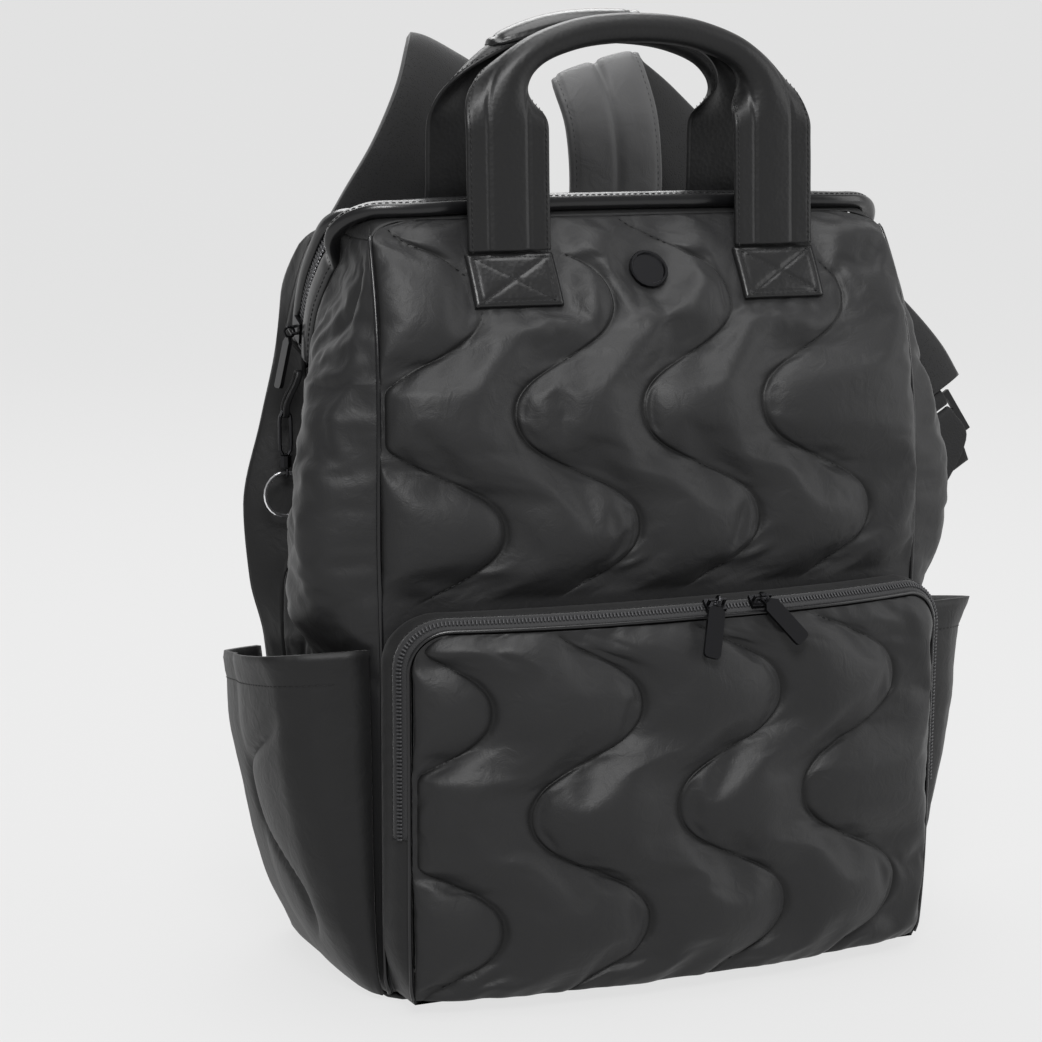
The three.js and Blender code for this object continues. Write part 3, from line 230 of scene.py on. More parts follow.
def make_mesh(name, verts, faces, material, smooth=True):
    mesh = bpy.data.meshes.new(name)
    mesh.from_pydata((np.asarray(verts) * MM).tolist(), [], [list(map(int, f)) for f in faces])
    mesh.materials.append(material)
    mesh.validate()
    mesh.polygons.foreach_set("use_smooth", [smooth] * len(mesh.polygons))
    mesh.update()
    piece = bpy.data.objects.new(name, mesh)
    bpy.context.scene.collection.objects.link(piece)
    return piece


def grid_faces(rows, cols, start=0, flip=False, ring=False):
    j = np.arange(rows if ring else rows - 1)[:, None]
    i = np.arange(cols - 1)[None, :]
    a = start + j * cols + i
    up = start + ((j + 1) % rows) * cols + i
    quads = np.stack([a, a + 1, up + 1, up], axis=-1).reshape(-1, 4)
    return quads[:, ::-1] if flip else quads


def wall_between(outer, inner, ring=False):
    """Closed body between two grids; seen from outside, columns run right and rows run up."""
    rows, cols = outer.shape[:2]
    n = rows * cols
    verts = np.vstack([outer.reshape(-1, 3), inner.reshape(-1, 3)])
    faces = [grid_faces(rows, cols, 0, False, ring), grid_faces(rows, cols, n, True, ring)]
    ids = np.arange(n).reshape(rows, cols)

    def rim(line):
        line = np.asarray(line)
        return np.stack([line[1:], line[:-1], line[:-1] + n, line[1:] + n], axis=-1)

    left = ids[:, 0][::-1]
    right = ids[:, -1]
    if ring:
        left = np.append(ids[0, 0], left)
        right = np.append(right, ids[0, -1])
    faces += [rim(right), rim(left)]
    if not ring:
        faces += [rim(ids[0]), rim(ids[-1][::-1])]
    return verts, np.vstack(faces)


def tube_through(sections):
    """Closed bar through equal closed sections, with a fan cap at each end."""
    rows, cols = sections.shape[:2]
    j = np.arange(rows - 1)[:, None]
    i = np.arange(cols)[None, :]
    a = j * cols + i
    b = j * cols + (i + 1) % cols
    quads = np.stack([a, b, b + cols, a + cols], axis=-1).reshape(-1, 4).tolist()
    caps = [list(range(cols))[::-1], [(rows - 1) * cols + k for k in range(cols)]]
    return sections.reshape(-1, 3), quads + caps


def ripple(p, scale, seed, octaves=2):
    """Smooth noise at places p, in millimetres, roughly -1 to 1."""
    from mathutils import Vector, noise

    flat = np.asarray(p, float).reshape(-1, 3) / scale + seed * 17.3
    values = [noise.fractal(Vector(v), 0.8, 2.0, octaves) for v in flat]
    return np.array(values).reshape(np.asarray(p).shape[:-1])


# Materials
def finish(name, colour, roughness, metallic=0.0, sheen=0.0, coat=0.0, gloss=0.28):
    material = bpy.data.materials.new(name)
    material.use_nodes = True
    shader = material.node_tree.nodes["Principled BSDF"]
    shader.inputs["Base Color"].default_value = (*colour, 1)
    shader.inputs["Roughness"].default_value = roughness
    shader.inputs["Metallic"].default_value = metallic
    shader.inputs["Specular IOR Level"].default_value = gloss
    shader.inputs["Sheen Weight"].default_value = sheen
    shader.inputs["Sheen Roughness"].default_value = 0.4
    shader.inputs["Coat Weight"].default_value = coat
    shader.inputs["Coat Roughness"].default_value = 0.25
    return material, shader


class Weaver:
    """Small helper that adds linked nodes to a material."""

    def __init__(self, material, shader):
        self.tree = material.node_tree
        self.shader = shader

    def node(self, kind, inputs=None, **settings):
        node = self.tree.nodes.new(kind)
        for key, value in settings.items():
            setattr(node, key, value)
        for key, value in (inputs or {}).items():
            if isinstance(value, bpy.types.NodeSocket):
                self.tree.links.new(value, node.inputs[key])
            else:
                node.inputs[key].default_value = value
        return node

    def place(self):
        return self.node("ShaderNodeTexCoord").outputs["Object"]

    def bump(self, height, strength, distance, under=None):
        inputs = {"Height": height, "Strength": strength, "Distance": distance}
        if under is not None:
            inputs["Normal"] = under
        return self.node("ShaderNodeBump", inputs).outputs["Normal"]

    def link(self, output, name):
        self.tree.links.new(output, self.shader.inputs[name])


def nylon(name, colour, roughness=0.46, crinkle=0.5, sheen=0.05):
    """Downproof nylon: fine weave, soft crinkles, a little change of tone, and painted shade darkening the
    sewn grooves.
    """
    material, shader = finish(name, colour, roughness, sheen=sheen)
    w = Weaver(material, shader)
    place = w.place()
    tone = w.node("ShaderNodeTexNoise", {"Vector": place, "Scale": 26.0, "Detail": 4.0})
    ramp = w.node("ShaderNodeMapRange", {"Value": tone.outputs["Fac"], "To Min": 0.82, "To Max": 1.18})
    # Painted shade: the sewn attribute darkens the cloth's colour in the grooves along the seams, where shade
    # falls.
    sewn = w.node("ShaderNodeAttribute", attribute_name="sewn")
    groove = w.node("ShaderNodeMapRange", {"Value": sewn.outputs["Fac"], "To Min": 1.0, "To Max": 0.2})
    depth = w.node("ShaderNodeMath", operation="MULTIPLY")
    w.tree.links.new(ramp.outputs["Result"], depth.inputs[0])
    w.tree.links.new(groove.outputs["Result"], depth.inputs[1])
    shade = w.node("ShaderNodeMix", data_type="RGBA", blend_type="MULTIPLY")
    mixed = [s for s in shade.inputs if s.type == "RGBA"]
    shade.inputs[0].default_value = 1.0
    mixed[0].default_value = (*colour, 1)
    w.tree.links.new(depth.outputs["Value"], mixed[1])
    out = [s for s in shade.outputs if s.type == "RGBA"][0]
    w.link(out, "Base Color")
    creases = w.node("ShaderNodeTexNoise", {"Vector": place, "Scale": 95.0, "Detail": 3.0, "Distortion": 1.2})
    weave = w.node("ShaderNodeTexNoise", {"Vector": place, "Scale": 1400.0, "Detail": 1.0})
    soft = w.bump(creases.outputs["Fac"], crinkle, 0.0012)
    w.link(w.bump(weave.outputs["Fac"], 0.25, 0.0002, soft), "Normal")
    return material


def hide(name, colour, roughness, coat, grain=420.0, strength=0.35):
    """Coated leather with a fine pebbled grain."""
    material, shader = finish(name, colour, roughness, coat=coat)
    w = Weaver(material, shader)
    place = w.place()
    cells = w.node("ShaderNodeTexVoronoi", {"Vector": place, "Scale": grain})
    folds = w.node("ShaderNodeTexNoise", {"Vector": place, "Scale": 60.0, "Detail": 3.0})
    soft = w.bump(folds.outputs["Fac"], 0.3, 0.001)
    w.link(w.bump(cells.outputs["Distance"], strength, 0.0003, soft), "Normal")
    return material


def ribbed(name, colour, scale, roughness=0.75):
    """Woven tape: fine ribs that follow no direction in particular."""
    material, shader = finish(name, colour, roughness, sheen=0.15)
    w = Weaver(material, shader)
    weave = w.node("ShaderNodeTexVoronoi", {"Vector": w.place(), "Scale": scale}, distance="CHEBYCHEV")
    w.link(w.bump(weave.outputs["Distance"], 0.6, 0.0004), "Normal")
    return material


def mesh_cloth(name, colour):
    """Open knitted mesh: a field of small holes, their darkness painted shade."""
    material, shader = finish(name, colour, 0.8, sheen=0.2)
    w = Weaver(material, shader)
    cells = w.node("ShaderNodeTexVoronoi", {"Vector": w.place(), "Scale": 900.0})
    opening = {"Value": cells.outputs["Distance"], "From Min": 0.15, "From Max": 0.4}
    hole = w.node("ShaderNodeMapRange", opening)
    shade = w.node("ShaderNodeMix", {"Factor": hole.outputs["Result"]}, data_type="RGBA")
    mixed = [s for s in shade.inputs if s.type == "RGBA"]
    # Painted shade: the near-black colour inside the holes stands for the shade in the mesh's openings.
    mixed[0].default_value = (0.004, 0.004, 0.004, 1)
    mixed[1].default_value = (*colour, 1)
    w.link([s for s in shade.outputs if s.type == "RGBA"][0], "Base Color")
    w.link(w.bump(hole.outputs["Result"], 0.4, 0.0003), "Normal")
    return material


def metal(name, colour, roughness):
    material, shader = finish(name, colour, roughness, metallic=1.0)
    w = Weaver(material, shader)
    wear = w.node("ShaderNodeTexNoise", {"Vector": w.place(), "Scale": 300.0, "Detail": 3.0})
    w.link(w.bump(wear.outputs["Fac"], 0.08, 0.0002), "Normal")
    return material


PUFF = nylon("puffer_nylon", (0.0125, 0.0125, 0.013), roughness=0.5, crinkle=0.35)
SHELL = nylon("shell_nylon", (0.008, 0.008, 0.0083), roughness=0.54, crinkle=0.4)
STRAP = nylon("strap_nylon", (0.06, 0.06, 0.061), roughness=0.55, crinkle=0.3)
BINDING = hide("binding_leather", (0.005, 0.005, 0.0055), 0.3, 0.35, strength=0.1)
LEATHER = hide("handle_leather", (0.006, 0.006, 0.0063), 0.46, 0.08)
PATCH = hide("patch_leather", (0.007, 0.007, 0.0073), 0.34, 0.25)
TAPE = ribbed("zip_tape", (0.009, 0.009, 0.0095), 1500.0)
POCKET_TAPE = ribbed("pocket_zip_tape", (0.02, 0.02, 0.021), 1500.0)
WEBBING = ribbed("webbing", (0.009, 0.009, 0.0095), 900.0)
LINING = mesh_cloth("strap_mesh", (0.014, 0.014, 0.0145))
THREAD = finish("thread", (0.008, 0.008, 0.0085), 0.5)[0]
TEETH = metal("zip_teeth", (0.13, 0.13, 0.135), 0.32)
COIL = finish("zip_coil", (0.035, 0.035, 0.037), 0.4)[0]
GUNMETAL = metal("gunmetal", (0.03, 0.03, 0.032), 0.34)
STEEL = metal("bright_steel", (0.85, 0.85, 0.87), 0.28)
PLASTIC = finish("lock_plastic", (0.008, 0.008, 0.0085), 0.42)[0]


# Quilted panels
FRONT_SEAMS = [-120, -49, 19, 87]
POCKET_SEAMS = [-142, -64, 16, 90]
SEAM_SPACE = 2.5
SEAM_SHADE = 1.9
FRONT_LIFT = 10.0
POCKET_LIFT = 9.5
PUCKER_HEIGHT = 0.75
PUCKER_SCALE = 4.0
PUCKER_REACH = 7.0
CLOTH_STIFFNESS = 12.0
PANEL_AIR = {"pressure": 4.2, "grow": 0.02, "frames": 22, "bending": 3.0}
PANEL_AIR_MOST = 6.0
SIDE_AIR = {"pressure": 1.6, "grow": 0.02, "frames": 16, "bending": 2.0}
SIDE_AIR_MOST = 1.6
SIDE_SINK = 11
SIDE_FOLD = 2.4


def wave(turn):
    return (np.cos(turn) - 0.05 * np.cos(3 * turn)) / 0.95


def seam_swing(z, bulge):
    return QUILT_SWING * wave(2 * math.pi * (z - bulge) / QUILT_PERIOD)


def seam_columns(seams, per_bay, half):
    """Columns of a quilted face: number of the bay and share of the way across it, closer near the seams."""
    edges = [-half, *seams, half]
    rows = []
    for k, (left, right) in enumerate(zip(edges[:-1], edges[1:])):
        wide = max(right - left, QUILT_SWING)
        steps = max(4, round(per_bay * wide / QUILT_PITCH))
        even = np.arange(steps) / steps
        rows += [(k, q) for q in mix(even, 0.5 - 0.5 * np.cos(math.pi * even), 0.6)]
    rows.append((len(edges) - 2, 1.0))
    return np.array(rows)


def swung(columns, seams, z, bulge, half):
    """Shares of the half width at which the columns lie at height z, and the widths of their bays."""
    away = seam_swing(z, bulge) - QUILT_DRIFT * (z - bulge) * 0.5
    edges = np.array([-half, *(np.array(seams) + away), half], float)
    for k in range(1, len(edges) - 1):
        edges[k] = max(edges[k], edges[k - 1] + SEAM_SPACE)
    for k in range(len(edges) - 2, 0, -1):
        edges[k] = min(edges[k], edges[k + 1] - SEAM_SPACE)
    bay = columns[:, 0].astype(int)
    x = mix(edges[bay], edges[bay + 1], columns[:, 1])
    return x / half, edges[bay + 1] - edges[bay]


def puff_profile(q):
    return np.clip(4 * q * (1 - q), 0, 1) ** 0.56


def inflate(name, grid, held, most, pressure, grow, frames, bending):
    """Cloth simulation of a sewn sheet: held points stay, the rest gains area and air, up to most."""
    rows, cols = grid.shape[:2]
    sheet = make_mesh(name, grid.reshape(-1, 3), grid_faces(rows, cols), PUFF)
    group = sheet.vertex_groups.new(name="held")
    group.add([int(k) for k in np.flatnonzero(held.reshape(-1))], 1.0, "REPLACE")
    cloth = sheet.modifiers.new("air", "CLOTH")
    s = cloth.settings
    s.quality = 6
    s.mass = 0.02
    s.air_damping = 3
    s.tension_stiffness = CLOTH_STIFFNESS
    s.compression_stiffness = CLOTH_STIFFNESS
    s.shear_stiffness = CLOTH_STIFFNESS * 0.4
    s.bending_stiffness = bending
    s.use_pressure = True
    s.uniform_pressure_force = pressure
    s.vertex_group_mass = "held"
    s.shrink_min = -grow
    s.effector_weights.gravity = 0
    cloth.collision_settings.use_collision = False
    cloth.point_cache.frame_start = 1
    cloth.point_cache.frame_end = frames
    scene = bpy.context.scene
    for step in range(1, frames + 1):
        scene.frame_set(step)
    graph = bpy.context.evaluated_depsgraph_get()
    made = sheet.evaluated_get(graph).to_mesh()
    flat = np.empty(len(made.vertices) * 3)
    made.vertices.foreach_get("co", flat)
    bpy.data.objects.remove(sheet)
    scene.frame_set(1)
    move = flat.reshape(rows, cols, 3) / MM - grid
    size = np.linalg.norm(move, axis=-1, keepdims=True)
    return grid + move * np.minimum(1, most / np.maximum(size, 1e-6))


def quilt_rows(low, high, step):
    return np.linspace(low, high, max(2, round((high - low) / step) + 1))


def puffed_panel(grid, share, rise, bay, lift, seed):
    """Puffs the bays of a sewn grid: a first rounded lift, then air pressed into the cloth."""
    across = np.gradient(grid, axis=1)
    up = np.gradient(grid, axis=0)
    normal = unit(np.cross(across, up))
    slope = np.linalg.norm(np.cross(unit(up), unit(across)), axis=-1)
    seam = np.minimum(share, 1 - share)
    width = np.minimum(bay * slope / QUILT_PITCH, 1.15)
    full = puff_profile(share) * rise * width**0.8
    away = seam * bay
    along = np.stack([away * 0.15, grid[..., 2] - 0.35 * grid[..., 0], np.zeros_like(seam)], -1)
    near = np.exp(-away / PUCKER_REACH) * np.minimum(1, away / 2.0)
    pucker = PUCKER_HEIGHT * ripple(along, PUCKER_SCALE, seed, 2) * near * rise
    start = grid + normal * (lift * full)[..., None]
    held = (seam < 1e-6) | (rise < 0.03)
    held[[0, -1], :] = True
    held[:, [0, -1]] = True
    blown = inflate("panel_under_air", start, held, PANEL_AIR_MOST, **PANEL_AIR)
    return blown + normal * pucker[..., None]


def seam_groove_shade(share, bay):
    """Painted shade for the sewn grooves: one along the sewn lines, falling to nothing a few millimetres
    away.
    """
    return np.exp(-((np.minimum(share, 1 - share) * bay / SEAM_SHADE) ** 2)) * fade(bay, 4, 9)


def padded_piece(name, outer, inner, material, nodes, marks=None, levels=1):
    verts, faces = wall_between(outer, inner)
    piece = make_mesh(name, verts, faces, material)
    # The marks are painted shade for the sewn grooves; the nylon darkens its colour where they are high.
    if marks is not None:
        sewn = piece.data.attributes.new("sewn", "FLOAT", "POINT")
        sewn.data.foreach_set("value", np.concatenate([marks.reshape(-1), np.zeros(marks.size)]))
    if levels:
        soft = piece.modifiers.new("smooth", "SUBSURF")
        soft.levels = soft.render_levels = levels
    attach(piece, BAG)
    if nodes:
        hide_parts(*nodes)
    return piece


def plain_piece(name, verts, faces, material, nodes=(), smooth=True):
    piece = make_mesh(name, verts, faces, material, smooth)
    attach(piece, BAG)
    if nodes:
        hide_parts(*nodes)
    return piece


def front_rise(u, z):
    """How far the padding may rise: nothing at the rims, under the patches and round the badge."""
    x = np.abs(u * HALF)
    above = fade(z, POCKET_TOP + POCKET_SHOULDER + 2, POCKET_TOP + POCKET_SHOULDER + 22)
    below = 1 - fade(z, PANEL_TOP - 16, PANEL_TOP - 1)
    reach = HANDLE_STRAP / 2 + 3
    beside = fade(np.abs(x - HANDLE_X), reach, reach + 16)
    under = 1 - fade(z, PATCH_TOP - PATCH_HEIGHT - 16, PATCH_TOP - PATCH_HEIGHT - 1)
    badge = np.hypot(x, z - BADGE_Z) / BADGE_DIAMETER
    return above * below * np.maximum(beside, under) * fade(badge, 0.55, 1.3)


def front_pleats(x, z):
    """Gathers that hang below the patches and the badge and fan out under the binding."""
    under = PATCH_TOP - PATCH_HEIGHT
    lift = np.zeros_like(z)
    for centre, half, top in ((-HANDLE_X, 24, under), (HANDLE_X, 24, under), (0, 13, BADGE_Z - 11)):
        fan = (x - centre) / (1 + np.maximum(0, top - z) * 0.012)
        reach = (1 - fade(np.abs(fan), half * 0.75, half * 1.15)) * fade(z, top - 36, top - 4) * (z < top + 1)
        lift += 1.3 * reach * ripple(points(fan, 0, z * 0.10), 5.0, 71)
    top = PANEL_TOP - 1
    lean = x + (top - z) * 0.55 * np.sign(x - 10)
    fall = fade(z, top - 42, top - 8) * (1 - fade(z, top - 2, top))
    lift += 1.2 * fall * ripple(points(lean, 0, z * 0.12), 7.0, 73)
    return lift


def front_puffer():
    columns = seam_columns(FRONT_SEAMS, 24, HALF)
    step = 2.7
    low = np.linspace(FOOT, POCKET_TOP - 14, 8)
    high = quilt_rows(POCKET_TOP - 6, PANEL_TOP, step)
    placed = [swung(columns, FRONT_SEAMS, z, UPPER_BULGE, HALF) for z in high]
    u = np.array([p[0] for p in placed])
    bay = np.array([p[1] for p in placed])
    z = np.repeat(high[:, None], len(columns), 1)
    rise = front_rise(u, z)
    share = np.repeat(columns[None, :, 1], len(high), 0)
    grid = front_point(u, z)
    grid[..., 1] -= front_pleats(u * HALF, z) * (1 - np.abs(u) ** 12)
    puffed = puffed_panel(grid, share, rise, bay, FRONT_LIFT, seed=3)
    under = front_point(u[:1].repeat(len(low), 0), np.repeat(low[:, None], len(columns), 1))
    outer = np.concatenate([under, puffed])
    u_all = np.concatenate([u[:1].repeat(len(low), 0), u])
    z_all = np.concatenate([np.repeat(low[:, None], len(columns), 1), z])
    inner = front_point(u_all, z_all, WALL)
    # Painted shade along the quilting's grooves, faded out where the padding does not rise.
    marks = np.concatenate([np.zeros(u_all[: len(low)].shape), seam_groove_shade(share, bay) * fade(rise, 0, 0.3)])
    padded_piece("front_puffer", outer, inner, PUFF, ["front_panel"], marks)
    return seam_lines(columns, puffed, rise, bay)


def seam_lines(columns, puffed, rise, bay):
    """Runs of the seams that lie clear of the panel's edges, as lists of places."""
    lines = []
    for k in np.flatnonzero(columns[:, 1] < 1e-6)[1:]:
        keep = (rise[:, k] > 0.02) & (bay[:, k] > 4) & (bay[:, k - 1] > 4)
        marks = np.flatnonzero(np.diff(np.concatenate([[0], keep.astype(int), [0]])))
        for start, stop in zip(marks[::2], marks[1::2]):
            if stop - start > 4:
                lines.append(puffed[start:stop, k])
    return lines


# Front pocket
POCKET_FOOT = FOOT + 3


def pocket_half(z, inset=0):
    b = Body(z)
    radius = POCKET_CORNER - inset
    down = np.maximum(0, z - (POCKET_TOP - inset - radius))
    corner = radius - np.sqrt(np.maximum(0, radius**2 - down**2))
    return b.width - POCKET_INSET - inset - corner


def pocket_point(x, z, depth):
    b = Body(z)
    u = np.clip(x / (b.width - SEAM_GAP), -1, 1)
    forward = depth + depth / POCKET_DEPTH * POCKET_CROWN * crown_shape(u)
    return points(x, -(b.front + b.crown * crown_shape(u)) - forward, z)


def pocket_puffer():
    clear = 0.95
    columns = seam_columns(POCKET_SEAMS, 22, HALF)
    step = 2.8
    straight = quilt_rows(POCKET_FOOT + clear, POCKET_TOP - POCKET_CORNER, step)
    turn = np.linspace(0, 1, 9)[1:] * math.pi / 2 * 0.96
    bend = POCKET_TOP - POCKET_CORNER + (POCKET_CORNER - clear) * np.sin(turn)
    levels = np.concatenate([straight, bend])
    placed = [swung(columns, POCKET_SEAMS, z, POCKET_BULGE, HALF) for z in levels]
    u = np.array([p[0] for p in placed])
    bay = np.array([p[1] for p in placed])
    z = np.repeat(levels[:, None], len(columns), 1)
    grid = pocket_point(u * pocket_half(z, clear), z, POCKET_DEPTH)
    rise = fade(z, POCKET_FOOT - 2, POCKET_FOOT + 12) * (1 - fade(z, POCKET_TOP - 12, POCKET_TOP))
    share = np.repeat(columns[None, :, 1], len(levels), 0)
    fan = (1 - fade(POCKET_TOP - z, 4, 26)) * fade(POCKET_TOP - z, 0, 3) * (1 - np.abs(u) ** 12)
    grid[..., 1] -= 1.1 * fan * ripple(points(u * HALF + (POCKET_TOP - z) * 0.4, 0, z * 0.15), 6.0, 83)
    puffed = puffed_panel(grid, share, rise, bay, POCKET_LIFT, seed=4)
    tuck = np.clip(z, POCKET_FOOT + clear + 1.5 * WALL, POCKET_TOP - clear - 1.5 * WALL)
    inner = pocket_point(u * (pocket_half(z, clear) - 1.4 * WALL), z, POCKET_DEPTH - WALL)
    inner[..., 2] = tuck
    # Painted shade along the quilting's grooves, faded out where the padding does not rise.
    marks = seam_groove_shade(share, bay) * fade(rise, 0, 0.3)
    padded_piece("front_pocket_puffer", puffed, inner, PUFF, ["front_pocket_face"], marks)
    return seam_lines(columns, puffed[3:-3], rise[3:-3], bay[3:-3])


def pocket_outline(step):
    """Outline seen from the front, from the lower left corner up, over and down, then back along the foot."""
    low = lambda z: fade(z, POCKET_FOOT, POCKET_FOOT + 30)
    rows = []
    levels = quilt_rows(POCKET_FOOT, POCKET_TOP - POCKET_CORNER, step)
    rows += [(-float(pocket_half(z)), z, -1, 0, float(low(z))) for z in levels[:-1]]
    turns = np.linspace(0, math.pi / 2, max(6, round(30 / step)))
    z = POCKET_TOP - POCKET_CORNER + POCKET_CORNER * np.sin(turns)
    flat = Body(z).width - POCKET_INSET - POCKET_CORNER
    left = [
        (-(f + POCKET_CORNER * math.cos(t)), h, -math.cos(t), math.sin(t), 1)
        for f, h, t in zip(flat, z, turns)
    ]
    reach = float(Body(POCKET_TOP).width) - POCKET_INSET - POCKET_CORNER
    top = [(x, POCKET_TOP, 0, 1, 1) for x in quilt_rows(-reach, reach, step)[1:-1]]
    rows += left + top
    right = [(-x, h, -nx, nz, o) for x, h, nx, nz, o in rows[: len(rows) - len(top)]][::-1]
    rows += right
    foot = float(pocket_half(POCKET_FOOT))
    rows += [(x, POCKET_FOOT, 0, -1, 0) for x in quilt_rows(foot, -foot, step)[1:-1]]
    return np.array(rows)


POCKET_SECTION = [
    (1, 0), (0.93, 0.3), (0.84, 0.62), (0.72, 0.8), (0.6, 0.95),
    (0.45, 1), (0.3, 0.92), (0.14, 0.7), (0, 0.5),
]
ZIP_STRIP = [(0.94, 0.4), (0.8, 0.9), (0.62, 0.9), (0.5, 1.0), (0.38, 0.9), (0.2, 0.9), (0.06, 0.4)]
ZIP_STRIP_BACK = (0.72, 0.8)


def pocket_wall():
    rows = pocket_outline(2.6)
    x, z, nx, nz, out = rows.T

    def layer(inset):
        cols = []
        for depth, shoulder in POCKET_SECTION:
            reach = POCKET_SHOULDER * shoulder * out - inset
            at = np.maximum(0.5, depth * POCKET_DEPTH - (inset * 1.25 if depth == 1 else 0))
            cols.append(pocket_point(x + nx * reach, z + nz * reach, at))
        return np.stack(cols[::-1], axis=1)

    outer = layer(0)
    side = np.stack([nx, np.zeros_like(nx), nz], axis=-1)[:, None, :]
    run = np.concatenate([[0], np.cumsum(np.linalg.norm(np.diff(outer[:, 4], axis=0), axis=1))])
    gather = 0.9 * np.abs(ripple(np.stack([run, run * 0, run * 0], -1), 11, 3))
    belly = np.sin(math.pi * np.linspace(0, 1, len(POCKET_SECTION)))[None, :]
    upright = (1 - (np.abs(nz) > 0.5) * 0.6)[:, None]
    outer = outer + side * (gather[:, None] * (belly * upright) * out[:, None])[..., None]
    verts, faces = wall_between(outer, layer(WALL), ring=True)
    plain_piece("front_pocket_gusset", verts, faces, SHELL, ["front_pocket_wall"])
    keep = (out == 1) & (z > POCKET_ZIP_END - 2)
    x, z, nx, nz = x[keep], z[keep], nx[keep], nz[keep]
    face_edge = pocket_point(x, z, POCKET_DEPTH)
    depth, shoulder = ZIP_STRIP_BACK
    reach = POCKET_SHOULDER * shoulder
    back_edge = pocket_point(x + nx * reach, z + nz * reach, depth * POCKET_DEPTH)
    out_dir = unit(np.stack([nx, -np.ones_like(nx), nz], axis=-1))
    at = lambda share, lift: mix(face_edge, back_edge, share) + out_dir * (0.6 + lift)
    outer = np.stack([at(s, h) for s, h in ZIP_STRIP], 1)
    inner = np.stack([at(s, -0.4) for s, h in ZIP_STRIP], 1)
    verts, faces = wall_between(outer, inner)
    plain_piece("front_pocket_zip_tape", verts, faces, POCKET_TAPE, ["front_pocket_zip"])
    return at(0.5, 1.1), out_dir, [at(0.97, 0.5), at(0.03, 0.5)]


# Side panels, back and base
SIDE_BAYS = 2
SIDE_SWING = 0.6
BINDING_CLEAR_FRONT = 3 * SEAT
BINDING_CLEAR_BACK = 18 * SEAT
MOUTH_OPENS = (11.5, 8)
MOUTH_OPENS_BACK = (6.5, -5.5)


